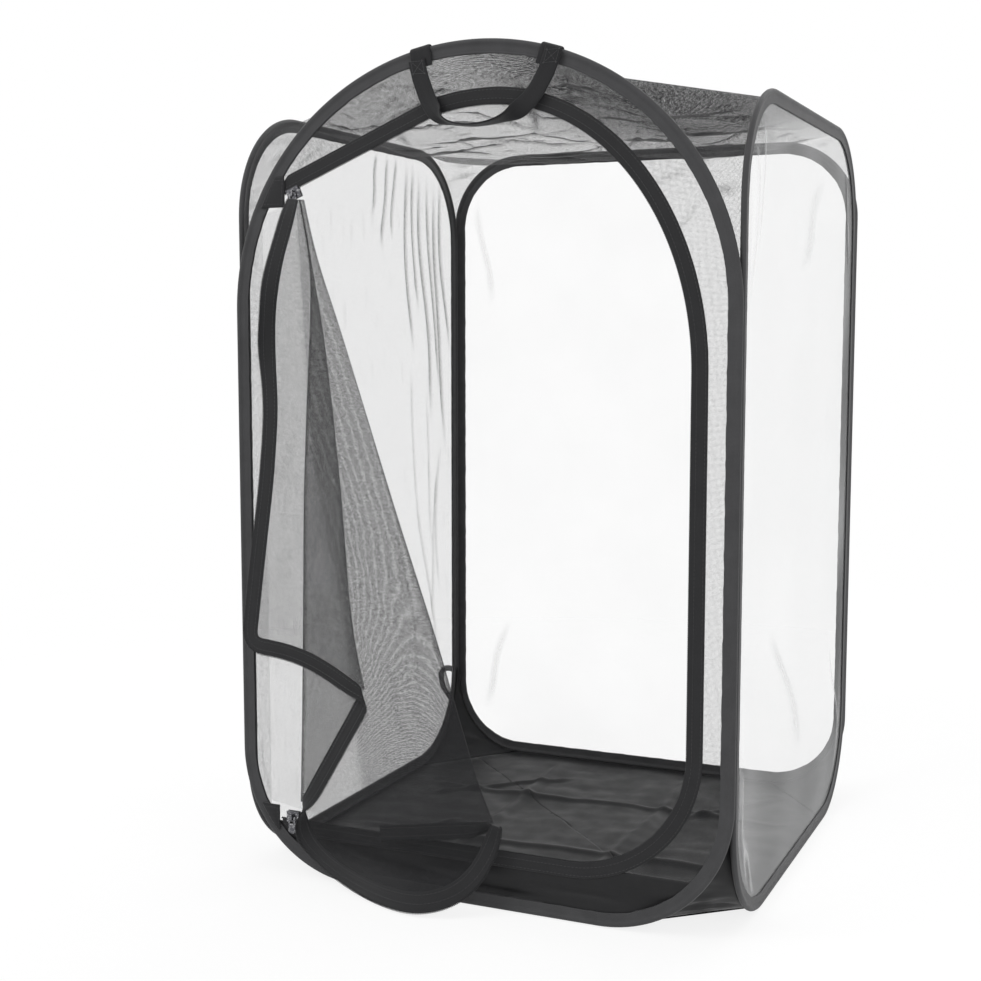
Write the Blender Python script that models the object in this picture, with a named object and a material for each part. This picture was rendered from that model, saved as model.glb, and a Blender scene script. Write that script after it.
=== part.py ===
"""Pop-up insect cage: four sprung loop panels, a mesh roof, a cloth floor and a zipped door.

Units are metres. +X is the viewer's right, +Y runs from the front panel to the back one, +Z is up,
and the origin lies on the ground under the middle of the cage.
"""
import math

import bmesh
import bpy
from mathutils import Vector

# The cage's outer sizes
CAGE_WIDTH = 0.400
CAGE_DEPTH = 0.400
PANEL_HEIGHT = 0.600
ARCH_LIFT = 0.035
ARCH_RISE = 0.1915
FRONT_FOOT_RADIUS = 0.100
SIDE_CORNER_RADIUS = 0.085
BACK_CORNER_RADIUS = 0.070

# Cloth, wire and binding tape
CLOTH = 0.0006
FILM = 0.0005
WIRE_RADIUS = 0.0013
TAPE_CLOTH = 0.0006
BINDING_WIDTH = 0.012
LIP_START = 0.0045
CLOTH_INSET = 0.0058
GAP = 0.0003
SEAM_GAP = 0.0005

# Roof and floor
FLOOR_CLOTH = 0.0006
ROOF_DROP = 0.006
ROOF_FRONT_HALF = 0.100
ROOF_SAG = 0.0035
ROOF_FOLD_DEPTH = 0.0045
ROOF_FOLD_SPACING = 0.104
ROOF_FOLD_FADE = 0.045
ROOF_CROWN_POWER = 2
# Each run of folds: its direction in degrees, its share of the spacing, its start as a share of a fold
ROOF_FOLD_SHARES = ((62, 1.00, 0.10), (118, 0.86, 0.45), (12, 1.30, 0.70))
GUSSET_INSET = 0.006
FLOOR_GUSSET_INSET = 0.0016
ROOF_SEAM_RUN = 0.001

# Door opening, measured on the front panel
HINGE_MARGIN = 0.024
DOOR_RIGHT_MARGIN = 0.033
DOOR_SILL = 0.043
DOOR_TOP_MARGIN = 0.044
DOOR_CROWN_OFFSET = 0.014
DOOR_CROWN_FLAT = 0.030
DOOR_ARCH_RISE = 0.191
DOOR_FOOT_RADIUS = 0.090
STRAIGHT_SHARE = 0.86
LATCH_DROP = 0.102
ZIP_TOP_INSET = 0.018813
ZIP_SILL_INSET = 0.017165
HINGE_LOW_RISE = 0.013
HINGE_TOP_DROP = 0.120

# Zipper
ZIP_TAPE_WIDTH = 0.011
ZIP_TAPE_CLOTH = 0.0008
ZIP_TRIM_RUN = 0.014
COIL_WIDTH = 0.003
COIL_THICK = 0.0014
SLIDER_LENGTH = 0.011
SLIDER_WIDTH = 0.0085
SLIDER_PLATE = 0.0008
SLIDER_START = 0.004
SLIDER_WALL = 0.0012
STAPLE_WIDTH = 0.0016
STAPLE_BAR = 0.0009
EYE_HEIGHT = 0.0026
EYE_DEPTH = 0.0017
PULL_LENGTH = 0.0135
PULL_WIDTH = 0.0062
PULL_THICK = 0.0010
PULL_BAR = 0.0010
PULL_WINDOW_LENGTH = 0.0045
PULL_WINDOW_WIDTH = 0.0032
PATCH_CLOTH = 0.0008
PATCH_UPPER_BELOW = 0.016
PATCH_UPPER_ABOVE = 0.012
PATCH_LOWER_BELOW = 0.007
PATCH_LOWER_ABOVE = 0.013
PATCH_INSET = 0.006
PATCH_SETBACK = 0.002
PATCH_LIFT = 0.0017

# Door flap, hanging open in folds
FLAP_CLOTH = 0.0006
FLAP_FOLD_RADIUS = 0.0012
FLAP_SWING_OFF = 0.0008
FLAP_EDGE_GAP = 0.0004

# Carrying handle
STRAP_WIDTH = 0.013
STRAP_THICK = 0.0012
TAB_WIDTH = 0.016
TAB_THICK = 0.0012
TAB_LENGTH = 0.014
TAB_REAR_LENGTH = 0.0048
TAB_CLEAR = 0.00045
HANDLE_LEFT = -0.040
HANDLE_RIGHT = 0.062
HANDLE_PIVOT_DROP = 0.010
HANDLE_HANG = 0.046
HANDLE_SWELL = 0.010
STRAP_LEAN_POWER = 4

# Storage loop on the back panel
STORAGE_BAND = 0.006
STORAGE_THICK = 0.0012
STORAGE_TOP = 0.075
STORAGE_RADIUS = 0.0080
STORAGE_OUT = 0.0070
STORAGE_FOOT_HIGH = 0.022
STORAGE_FOOT_LOW = 0.014
STORAGE_FOOT_IN = 0.020
STORAGE_NECK = 0.030

# Counts
CORNER_STEPS = 6
ARCH_STEPS = 16
DOOR_ARCH_STEPS = 10
DOOR_FOOT_STEPS = 5
DOOR_BEND_STEPS = 3
WIRE_SIDES = 6
FLAP_ROWS = 13
GUSSET_STEPS = 7
ROOF_ROWS = 15
ROOF_COLUMNS = 16
STRAP_STEPS = 28
SHARP_DEGREES = 40

# Heights that go with the arch
ARCH_HEIGHT = PANEL_HEIGHT + ARCH_LIFT
ARCH_SPRING = ARCH_HEIGHT - ARCH_RISE
LATCH_HEIGHT = ARCH_HEIGHT - LATCH_DROP
LATCH_SHARE = (LATCH_HEIGHT - ARCH_SPRING) / ARCH_RISE

# Half thickness of a loop at its wire and at the tape's lips
BULGE = WIRE_RADIUS + GAP + TAPE_CLOTH
LIP = CLOTH / 2 + GAP + TAPE_CLOTH

# The four panel planes, at the middle of the cloth
FRONT_Y = -CAGE_DEPTH / 2 + BULGE
BACK_Y = CAGE_DEPTH / 2 - BULGE
LEFT_X = -CAGE_WIDTH / 2 + BULGE
RIGHT_X = CAGE_WIDTH / 2 - BULGE
SIDE_HALF = CAGE_DEPTH / 2 - 2 * BULGE - SEAM_GAP

# Vertical fold axes between neighbouring panels
FOLD_Y = SIDE_HALF + SEAM_GAP / 2
FRONT_LEFT_AXIS = Vector((LEFT_X + BULGE, -FOLD_Y, 0))
FRONT_RIGHT_AXIS = Vector((RIGHT_X + BULGE, -FOLD_Y, 0))
BACK_RIGHT_AXIS = Vector((RIGHT_X - BULGE, FOLD_Y, 0))

HINGE_X = -CAGE_WIDTH / 2 + HINGE_MARGIN
DOOR_RIGHT = CAGE_WIDTH / 2 - DOOR_RIGHT_MARGIN
DOOR_TOP = ARCH_HEIGHT - DOOR_TOP_MARGIN
DOOR_WIDTH = DOOR_RIGHT - HINGE_X
LATCH_EDGE = -CAGE_WIDTH / 2 * math.sqrt(1 - LATCH_SHARE * LATCH_SHARE)
ZIP_TOP = Vector((LATCH_EDGE + ZIP_TOP_INSET, LATCH_HEIGHT))
ZIP_KNEE = Vector((DOOR_CROWN_OFFSET - DOOR_CROWN_FLAT, DOOR_TOP))
ZIP_RUN = (ZIP_KNEE - ZIP_TOP).normalized()
FOOT_RISE = FRONT_FOOT_RADIUS - DOOR_SILL
FOOT_REACH = math.sqrt(FRONT_FOOT_RADIUS * FRONT_FOOT_RADIUS - FOOT_RISE * FOOT_RISE)
SILL_EDGE = -CAGE_WIDTH / 2 + FRONT_FOOT_RADIUS - FOOT_REACH
SILL_START = Vector((SILL_EDGE + ZIP_SILL_INSET, DOOR_SILL))


def clear_scene():
    """Empty the file of the objects that it opened with."""
    for item in list(bpy.data.objects):
        bpy.data.objects.remove(item, do_unlink=True)


def make_material(name, colour, roughness, metallic=0.0, alpha=1.0):
    """One Principled material with the piece's colour, roughness and metallic value."""
    material = bpy.data.materials.new(name)
    material.use_nodes = True
    shader = material.node_tree.nodes["Principled BSDF"]
    shader.inputs["Base Color"].default_value = (*colour, 1.0)
    shader.inputs["Roughness"].default_value = roughness
    shader.inputs["Metallic"].default_value = metallic
    shader.inputs["Alpha"].default_value = alpha
    return material


def add_pivot(name, at, parent=None):
    """An empty on a joint's axis, which carries the pieces that turn or slide there."""
    empty = bpy.data.objects.new(name, None)
    bpy.context.collection.objects.link(empty)
    empty.parent = parent
    empty.location = at - (pivot_place(parent) if parent else Vector((0, 0, 0)))
    empty["axis_point"] = tuple(at)
    return empty


def pivot_place(empty):
    """Where a pivot stands in the cage's frame."""
    return Vector(empty["axis_point"])


def add_piece(name, shape, material, pivot=None, smooth=True):
    """Turn a bmesh in the cage's frame into a named object, carried by its pivot."""
    bmesh.ops.recalc_face_normals(shape, faces=shape.faces)
    if pivot:
        bmesh.ops.translate(shape, verts=shape.verts, vec=-pivot_place(pivot))
    mesh = bpy.data.meshes.new(name)
    shape.to_mesh(mesh)
    shape.free()
    mesh.materials.append(material)
    if smooth:
        mesh.shade_smooth()
        mesh.set_sharp_from_angle(angle=math.radians(SHARP_DEGREES))
    piece = bpy.data.objects.new(name, mesh)
    bpy.context.collection.objects.link(piece)
    piece.parent = pivot
    return piece


def loft(rows, closed=False):
    """Join equal rows of points into a tube; its ends are capped unless it closes on itself.

    The quads of a strip's two sides start at corners that make them split the same way.
    """
    shape = bmesh.new()
    rings = [[shape.verts.new(point) for point in row] for row in rows]
    pairs = list(zip(rings, rings[1:]))
    if closed:
        pairs.append((rings[-1], rings[0]))
    else:
        shape.faces.new(rings[0])
        shape.faces.new(list(reversed(rings[-1])))
    for one, two in pairs:
        for k in range(len(one)):
            after = (k + 1) % len(one)
            if 2 * k < len(one):
                shape.faces.new((one[k], one[after], two[after], two[k]))
            else:
                shape.faces.new((one[after], two[after], two[k], one[k]))
    return shape


def plate(outline, lift):
    """A flat sheet: the outline's points, and the same points moved by the vector lift."""
    shape = bmesh.new()
    low = [shape.verts.new(point) for point in outline]
    high = [shape.verts.new(Vector(point) + lift) for point in outline]
    shape.faces.new(low)
    shape.faces.new(list(reversed(high)))
    for k in range(len(low)):
        after = (k + 1) % len(low)
        shape.faces.new((low[k], low[after], high[after], high[k]))
    return shape


def thick_grid(grid, thickness):
    """A sheet of even thickness on both sides of a grid of points."""
    rows, columns = len(grid), len(grid[0])

    def slope(i, j):
        down = grid[min(i + 1, rows - 1)][j] - grid[max(i - 1, 0)][j]
        over = grid[i][min(j + 1, columns - 1)] - grid[i][max(j - 1, 0)]
        return over.cross(down).normalized()

    shape = bmesh.new()
    faces = []
    for side in (thickness / 2, -thickness / 2):
        faces.append([[shape.verts.new(grid[i][j] + slope(i, j) * side) for j in range(columns)]
                      for i in range(rows)])
    for layer in faces:
        for i in range(rows - 1):
            for j in range(columns - 1):
                shape.faces.new((layer[i][j], layer[i][j + 1], layer[i + 1][j + 1], layer[i + 1][j]))
    rim = [(0, j) for j in range(columns)] + [(i, columns - 1) for i in range(1, rows)]
    rim += [(rows - 1, j) for j in range(columns - 2, -1, -1)] + [(i, 0) for i in range(rows - 2, 0, -1)]
    for (a, b), (c, d) in zip(rim, rim[1:] + rim[:1]):
        shape.faces.new((faces[0][a][b], faces[0][c][d], faces[1][c][d], faces[1][a][b]))
    return shape


def add_corner(points, centre, radius, start, end, steps):
    """Add an arc's points, each with its inward normal, to an outline."""
    for k in range(steps + 1):
        angle = math.radians(start + (end - start) * k / steps)
        ray = Vector((math.cos(angle), math.sin(angle)))
        points.append((centre + ray * radius, -ray))


def rounded_loop(half_width, height, radius):
    """The outer edge of a side or back loop: across and up, with inward normals."""
    points = []
    near, far = half_width - radius, height - radius
    add_corner(points, Vector((near, radius)), radius, -90, 0, CORNER_STEPS)
    add_corner(points, Vector((near, far)), radius, 0, 90, CORNER_STEPS)
    add_corner(points, Vector((-near, far)), radius, 90, 180, CORNER_STEPS)
    add_corner(points, Vector((-near, radius)), radius, 180, 270, CORNER_STEPS)
    return points


def arch_point(angle):
    """A point on the front loop's arch and its inward normal; 0 is the right springing."""
    half_width = CAGE_WIDTH / 2
    point = Vector((half_width * math.cos(angle), ARCH_SPRING + ARCH_RISE * math.sin(angle)))
    out = Vector((math.cos(angle) * ARCH_RISE, math.sin(angle) * half_width)).normalized()
    return point, -out


def front_loop():
    """The outer edge of the front loop: round feet, straight sides and a half-round arch."""
    points = []
    near = CAGE_WIDTH / 2 - FRONT_FOOT_RADIUS
    add_corner(points, Vector((near, FRONT_FOOT_RADIUS)), FRONT_FOOT_RADIUS, -90, 0, CORNER_STEPS)
    for k in range(ARCH_STEPS + 1):
        points.append(arch_point(math.pi * k / ARCH_STEPS))
    add_corner(points, Vector((-near, FRONT_FOOT_RADIUS)), FRONT_FOOT_RADIUS, 180, 270, CORNER_STEPS)
    return points


def front_place(across, up, depth=0.0):
    """A point on the front panel; depth is towards the viewer."""
    return Vector((across, FRONT_Y - depth, up))


def back_place(across, up, depth=0.0):
    """A point on the back panel; depth is towards the viewer."""
    return Vector((across, BACK_Y - depth, up))


def left_place(across, up, depth=0.0):
    """A point on the left panel; depth is away from the cage."""
    return Vector((LEFT_X - depth, across, up))


def right_place(across, up, depth=0.0):
    """A point on the right panel; depth is into the cage."""
    return Vector((RIGHT_X - depth, across, up))


def wire_section():
    """The spring wire's round section, as inset from the loop's edge and depth."""
    turns = [2 * math.pi * k / WIRE_SIDES for k in range(WIRE_SIDES)]
    return [(BULGE + WIRE_RADIUS * math.cos(turn), WIRE_RADIUS * math.sin(turn)) for turn in turns]


def binding_section():
    """Tape folded round the wire, its two lips open towards the cloth between them."""
    inner = WIRE_RADIUS + GAP
    diagonal = math.sqrt(0.5)
    outside = [(BINDING_WIDTH, LIP), (LIP_START, LIP), (BULGE, BULGE),
               (BULGE * (1 - diagonal), BULGE * diagonal), (0, 0)]
    inside = [(BINDING_WIDTH, LIP - TAPE_CLOTH), (LIP_START, LIP - TAPE_CLOTH), (BULGE, inner),
              (BULGE - inner * diagonal, inner * diagonal), (BULGE - inner, 0)]
    outer = outside + [(inset, -depth) for inset, depth in reversed(outside[:-1])]
    inner_side = inside + [(inset, -depth) for inset, depth in reversed(inside[:-1])]
    return outer + list(reversed(inner_side))


def sweep_loop(outline, section, place):
    """Run a section round a closed loop of a panel."""
    rows = []
    for point, inward in outline:
        row = []
        for inset, depth in section:
            at = point + inward * inset
            row.append(place(at.x, at.y, depth))
        rows.append(row)
    return loft(rows, closed=True)


def inset_outline(outline, inset):
    """The loop's outline moved inwards."""
    return [point + inward * inset for point, inward in outline]


def clip_outline(points, height, keep_above):
    """Cut a convex outline at a height and keep one side of it."""
    kept = []
    for one, two in zip(points, points[1:] + points[:1]):
        one_in = (one.y >= height) == keep_above
        two_in = (two.y >= height) == keep_above
        if one_in:
            kept.append(one)
        if one_in != two_in:
            kept.append(one.lerp(two, (height - one.y) / (two.y - one.y)))
    return kept


def zip_path():
    """The zipper's line: from its upper end along the top, down the right side and back along the sill."""
    points = [ZIP_TOP.copy(), ZIP_TOP + ZIP_RUN * ZIP_TRIM_RUN, ZIP_TOP.lerp(ZIP_KNEE, STRAIGHT_SHARE)]
    crown = Vector((DOOR_CROWN_OFFSET, DOOR_TOP))
    start = points[-1]
    for k in range(1, DOOR_BEND_STEPS):
        t = k / DOOR_BEND_STEPS
        points.append(start.lerp(ZIP_KNEE, t).lerp(ZIP_KNEE.lerp(crown, t), t))
    half = DOOR_RIGHT - DOOR_CROWN_OFFSET
    spring = DOOR_TOP - DOOR_ARCH_RISE
    for k in range(DOOR_ARCH_STEPS + 1):
        angle = math.pi / 2 * (1 - k / DOOR_ARCH_STEPS)
        across = DOOR_CROWN_OFFSET + half * math.cos(angle)
        points.append(Vector((across, spring + DOOR_ARCH_RISE * math.sin(angle))))
    centre = Vector((DOOR_RIGHT - DOOR_FOOT_RADIUS, DOOR_SILL + DOOR_FOOT_RADIUS))
    for k in range(DOOR_FOOT_STEPS + 1):
        angle = -math.pi / 2 * k / DOOR_FOOT_STEPS
        points.append(centre + Vector((math.cos(angle), math.sin(angle))) * DOOR_FOOT_RADIUS)
    points.append(SILL_START + Vector((ZIP_TRIM_RUN, 0)))
    points.append(SILL_START.copy())
    return points


def outward_normals(points):
    """At each point of the zipper's line, the direction away from the door."""
    normals = []
    for k in range(len(points)):
        ahead = points[min(k + 1, len(points) - 1)] - points[max(k - 1, 0)]
        normals.append(Vector((-ahead.y, ahead.x)).normalized())
    return normals


def edge_distance(point):
    """How far a place on the front panel lies inside the loop's outer edge."""
    edge = [place for place, inward in front_loop()]
    nearest = CAGE_WIDTH
    for one, two in zip(edge, edge[1:] + edge[:1]):
        run = two - one
        share = min(max((point - one).dot(run) / run.length_squared, 0), 1)
        nearest = min(nearest, (point - one.lerp(two, share)).length)
    return nearest


def zip_strip(points, near, far, front, rear):
    """A flat strip beside the zipper's line, between two depths, trimmed where it meets the binding."""
    rows = []
    for point, out in zip(points, outward_normals(points)):
        reach = min(far, edge_distance(point) - BINDING_WIDTH - GAP)
        one, two = point + out * near, point + out * reach
        rows.append([front_place(one.x, one.y, front), front_place(two.x, two.y, front),
                     front_place(two.x, two.y, rear), front_place(one.x, one.y, rear)])
    return loft(rows)


def build_loop(name, outline, place, materials, pivot):
    """A panel's frame: the sprung wire and the tape that is folded and sewn round it."""
    wire = sweep_loop(outline, wire_section(), place)
    add_piece(name + "_loop_wire", wire, materials["steel"], pivot)
    binding = sweep_loop(outline, binding_section(), place)
    add_piece(name + "_loop_binding", binding, materials["binding"], pivot)


def build_sheet(name, outline, place, thickness, material, pivot):
    """A panel's cloth or film, its edge held between the lips of the binding."""
    half = thickness / 2
    flat = [place(point.x, point.y, -half) for point in inset_outline(outline, CLOTH_INSET)]
    lift = place(0, 0, half) - place(0, 0, -half)
    add_piece(name, plate(flat, lift), material, pivot, smooth=False)


def build_front_cloth(materials):
    """The mesh border round the door opening, and the opaque band below the sill."""
    half = CLOTH / 2
    lift = front_place(0, 0, half) - front_place(0, 0, -half)
    whole = inset_outline(front_loop(), CLOTH_INSET)
    upper = clip_outline(whole, DOOR_SILL + GAP, True)
    lowest_right = max(range(len(upper)), key=lambda k: (upper[k].y < DOOR_SILL + 2 * GAP, upper[k].x))
    upper = upper[lowest_right:] + upper[:lowest_right]
    opening = [Vector((max(HINGE_X, upper[-1].x + GAP), DOOR_SILL + GAP)),
               Vector((HINGE_X, DOOR_SILL + HINGE_LOW_RISE)),
               Vector((HINGE_X, ARCH_HEIGHT - HINGE_TOP_DROP))]
    opening += [point for point in zip_path() if point.y > DOOR_SILL + 2 * GAP]
    opening.append(Vector((opening[-1].x, DOOR_SILL + GAP)))
    border = [front_place(point.x, point.y, -half) for point in upper + opening]
    add_piece("front_mesh_border", plate(border, lift), materials["black_mesh"], smooth=False)
    lower = clip_outline(whole, DOOR_SILL, False)
    band = [front_place(point.x, point.y, -half) for point in lower]
    add_piece("front_lower_band", plate(band, lift), materials["polyester"], smooth=False)


def foot_edge(up, inset):
    """Across the front loop's lower left corner at a height, inset from its outer edge."""
    radius = FRONT_FOOT_RADIUS - inset
    rise = FRONT_FOOT_RADIUS - up
    return -CAGE_WIDTH / 2 + FRONT_FOOT_RADIUS - math.sqrt(radius * radius - rise * rise)


def arch_edge(up, inset):
    """Across the left of the front loop's arch at a height, inset from its outer edge."""
    share = (up - ARCH_SPRING) / (ARCH_RISE - inset)
    return -(CAGE_WIDTH / 2 - inset) * math.sqrt(1 - share * share)


def build_zipper(materials):
    """The opening's half of the zipper, and the patches that cover the zipper's two ends."""
    points = zip_path()
    cloth_front = CLOTH / 2 + GAP
    tape = zip_strip(points, 0, ZIP_TAPE_WIDTH, cloth_front, cloth_front + ZIP_TAPE_CLOTH)
    add_piece("door_zip_tape", tape, materials["zip_tape"])
    coil = zip_strip(points, -GAP, -GAP - COIL_WIDTH, -COIL_THICK / 2, COIL_THICK / 2)
    add_piece("door_zip_coil", coil, materials["coil"])
    lift = front_place(0, 0, PATCH_CLOTH) - front_place(0, 0, 0)
    ends = [("zip_patch_upper", ZIP_TOP, PATCH_UPPER_BELOW, PATCH_UPPER_ABOVE, arch_edge),
            ("zip_patch_lower", SILL_START, PATCH_LOWER_BELOW, PATCH_LOWER_ABOVE, foot_edge)]
    for name, end, below, above, loop_edge in ends:
        low, high = end.y - below, end.y + above
        left_low, left_high = loop_edge(low, PATCH_INSET), loop_edge(high, PATCH_INSET)
        right = end.x - PATCH_SETBACK
        outline = [(left_low, low), (right, low), (right, high), (left_high, high)]
        flat = [front_place(across, up, PATCH_LIFT) for across, up in outline]
        add_piece(name, plate(flat, lift), materials["zip_tape"], smooth=False)


def slider_seat(start, run, inward):
    """Middle of a slider, on the front panel, and the place that its pull hangs from."""
    middle = start + run * (SLIDER_START + SLIDER_LENGTH / 2)
    return middle, middle + inward * (GAP + SLIDER_WIDTH / 2)


def build_slider(end, start, run, inward, materials):
    """One slider, which runs on the coil, with its staple and the pull tab that hangs from it."""
    plate_in = COIL_THICK / 2 + GAP
    plate_out = plate_in + SLIDER_PLATE
    wall_near = GAP + COIL_WIDTH + GAP
    wall_far = wall_near + SLIDER_WALL
    side = GAP
    far = GAP + SLIDER_WIDTH
    section = [(side, plate_in), (side, plate_out), (far, plate_out), (far, plate_in),
               (wall_far, plate_in), (wall_far, -plate_in), (far, -plate_in), (far, -plate_out),
               (side, -plate_out), (side, -plate_in), (wall_near, -plate_in), (wall_near, plate_in)]
    middle, hang = slider_seat(start, run, inward)
    rows = []
    for along in (-SLIDER_LENGTH / 2, SLIDER_LENGTH / 2):
        base = middle + run * along
        rows.append([front_place(base.x + inward.x * over, base.y + inward.y * over, depth)
                     for over, depth in section])
    seat = add_pivot(end + "_slider_seat", front_place(middle.x, middle.y))
    slider = add_piece("zip_slider_" + end, loft(rows), materials["slider"], seat, smooth=False)
    eye_low, eye_high = -EYE_HEIGHT / 2, EYE_HEIGHT / 2
    eye_near, eye_far = plate_out - SLIDER_PLATE / 2, plate_out + EYE_DEPTH
    bar_low, bar_high, bar_far = eye_low - STAPLE_BAR, eye_high + STAPLE_BAR, eye_far + STAPLE_BAR
    staple = [(bar_low, eye_near), (eye_low, eye_near), (eye_low, eye_far), (eye_high, eye_far),
              (eye_high, eye_near), (bar_high, eye_near), (bar_high, bar_far), (bar_low, bar_far)]
    outline = [front_place(hang.x - STAPLE_WIDTH / 2, hang.y + up, depth) for up, depth in staple]
    shape = plate(outline, Vector((STAPLE_WIDTH, 0, 0)))
    cutter = add_piece(end + "_staple_shape", shape, materials["slider"], seat, smooth=False)
    cutter.hide_render = True
    cutter.display_type = "WIRE"
    union = slider.modifiers.new("staple", "BOOLEAN")
    union.operation = "UNION"
    union.object = cutter
    pin_depth = plate_out + EYE_DEPTH / 2
    pin = add_pivot(end + "_pull_pin", front_place(hang.x, hang.y, pin_depth), seat)
    build_pull(end, hang, pin_depth, materials, pin)
    return pin


def build_pull(end, hang, depth, materials, pin):
    """A flat pull tab; the bar above its window passes through the slider's staple."""
    top = hang.y + PULL_BAR / 2
    low = top - PULL_LENGTH
    half = PULL_WIDTH / 2
    window_half = PULL_WINDOW_WIDTH / 2
    window_top = top - PULL_BAR
    window_low = window_top - PULL_WINDOW_LENGTH
    corner = PULL_WIDTH / 4
    outer = [(half, low + corner), (half, top), (-half, top), (-half, low + corner), (-half + corner, low),
             (half - corner, low)]
    inner = [(window_half, window_low), (window_half, window_top), (-window_half, window_top),
             (-window_half, window_low), (-window_half, window_low), (window_half, window_low)]
    shape = bmesh.new()
    rings = []
    for outline in (outer, inner):
        for side in (PULL_THICK / 2, -PULL_THICK / 2):
            ring = []
            for k, (across, up) in enumerate(outline):
                if outline is inner and k >= len(outline) - 2:
                    ring.append(ring[3] if k == len(outline) - 2 else ring[0])
                else:
                    ring.append(shape.verts.new(front_place(hang.x + across, up, depth + side)))
            rings.append(ring)
    outer_front, outer_rear, inner_front, inner_rear = rings
    for one, two in ((outer_front, inner_front), (outer_rear, inner_rear), (outer_front, outer_rear),
                     (inner_front, inner_rear)):
        for k in range(len(outer)):
            after = (k + 1) % len(outer)
            corners = []
            for vertex in (one[k], one[after], two[after], two[k]):
                if vertex not in corners:
                    corners.append(vertex)
            if len(corners) > 2:
                shape.faces.new(corners)
    add_piece("zip_pull_" + end, shape, materials["slider"], pin, smooth=False)


# The flap's folds, from the hinge seam to the free edge. Each fold is a line of places on the front
# panel, from top to bottom: across as a share of the door's width from the hinge, up as a share of
# the door's height from the sill, and depth as a share of the flap's swell.
FLAP_SWELL = 0.040
HINGE_FOLD_SHARES = [(0.002, 0.943, 0.02), (0.002, 0.514, 0.02), (0.002, 0.086, 0.02)]
REAR_FOLD_SHARES = [(0.036, 0.943, 0.045), (0.120, 0.600, 0.07), (0.210, 0.330, 0.09), (0.270, 0.085, 0.12)]
DIAGONAL_SHARES = [(0.070, 0.943, 0.09), (0.087, 0.902, 0.10), (0.169, 0.759, 0.13), (0.265, 0.586, 0.17),
                   (0.338, 0.439, 0.20), (0.446, 0.259, 0.24), (0.513, 0.147, 0.28), (0.566, 0.070, 0.32)]
LEFT_FOLD_SHARES = [(0.050, 0.943, 0.19), (0.078, 0.850, 0.21), (0.098, 0.730, 0.23), (0.096, 0.525, 0.26),
                    (0.090, 0.300, 0.28), (0.083, 0.100, 0.30), (0.088, 0.010, 0.30)]
PLEAT_SHARES = [(0.066, 0.943, 0.31), (0.106, 0.870, 0.33), (0.150, 0.800, 0.36), (0.180, 0.690, 0.39),
                (0.200, 0.585, 0.42), (0.222, 0.380, 0.46), (0.240, 0.235, 0.50)]
EDGE_SHARES = [(0.047, 0.943, 0.34), (0.049, 0.830, 0.385), (0.060, 0.670, 0.435), (0.052, 0.520, 0.475),
               (0.049, 0.315, 0.53)]
# Where the front layer's lower edge swells out over the sill, as it goes from the diagonal to the left fold
FRONT_LAYER_SHARES = (0.16, 0.30, 0.44, 0.60, 0.76, 0.90)
FRONT_FOOT_SHARES = [(0.532, -0.004, 0.43), (0.482, -0.040, 0.66), (0.420, -0.058, 0.86),
                     (0.335, -0.058, 0.64), (0.222, -0.050, 0.30), (0.150, -0.024, 0.27)]
FOOT_POWER = 7


def along_table(table, share):
    """A place on a fold's line, with equal steps of height between its top and its bottom."""
    top, low = table[0][1], table[-1][1]
    up = top + (low - top) * share
    for one, two in zip(table, table[1:]):
        if two[1] <= up or two is table[-1]:
            mix = (up - one[1]) / (two[1] - one[1])
            return Vector([one[k] + (two[k] - one[k]) * mix for k in range(3)])
    return Vector(table[-1])


def flap_place(shares):
    """A place of the flap's folds in the cage's frame."""
    across = HINGE_X + DOOR_WIDTH * shares[0]
    up = DOOR_SILL + (LATCH_HEIGHT - DOOR_SILL) * shares[1]
    return front_place(across, up, FLAP_SWING_OFF + FLAP_SWELL * shares[2])


def fold_turn(rear, front, reach):
    """Three places round a fold: the cloth comes from behind, turns at its edge and goes back in front."""
    middle = rear.lerp(front, 0.5)
    inset = Vector((reach, 0, 0))
    return [rear - inset, middle, front - inset]


def flap_grid():
    """The flap's middle surface: rows go down it, columns go from the hinge to the free edge."""
    rows = []
    turn = Vector((0, -FLAP_FOLD_RADIUS, 0))
    for i in range(FLAP_ROWS):
        share = i / (FLAP_ROWS - 1)
        diagonal, left = along_table(DIAGONAL_SHARES, share), along_table(LEFT_FOLD_SHARES, share)
        row = [flap_place(along_table(table, share)) for table in (HINGE_FOLD_SHARES, REAR_FOLD_SHARES)]
        edge = flap_place(diagonal)
        row += fold_turn(edge - turn, edge + turn, FLAP_FOLD_RADIUS)
        edge = flap_place(left)
        left_turn = fold_turn(edge - turn, edge + turn, -FLAP_FOLD_RADIUS)
        layer_start, layer_end = row[-1], left_turn[0]
        for over, foot in zip(FRONT_LAYER_SHARES, FRONT_FOOT_SHARES):
            last = Vector(DIAGONAL_SHARES[-1]).lerp(Vector(LEFT_FOLD_SHARES[-1]), over)
            swell = (flap_place(foot) - flap_place(last)) * share ** FOOT_POWER
            row.append(layer_start.lerp(layer_end, over) + swell)
        row += left_turn
        edge = flap_place(along_table(PLEAT_SHARES, share))
        row += fold_turn(edge - turn, edge + turn, FLAP_FOLD_RADIUS)
        row.append(flap_place(along_table(EDGE_SHARES, share)))
        rows.append(row)
    return rows


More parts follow.
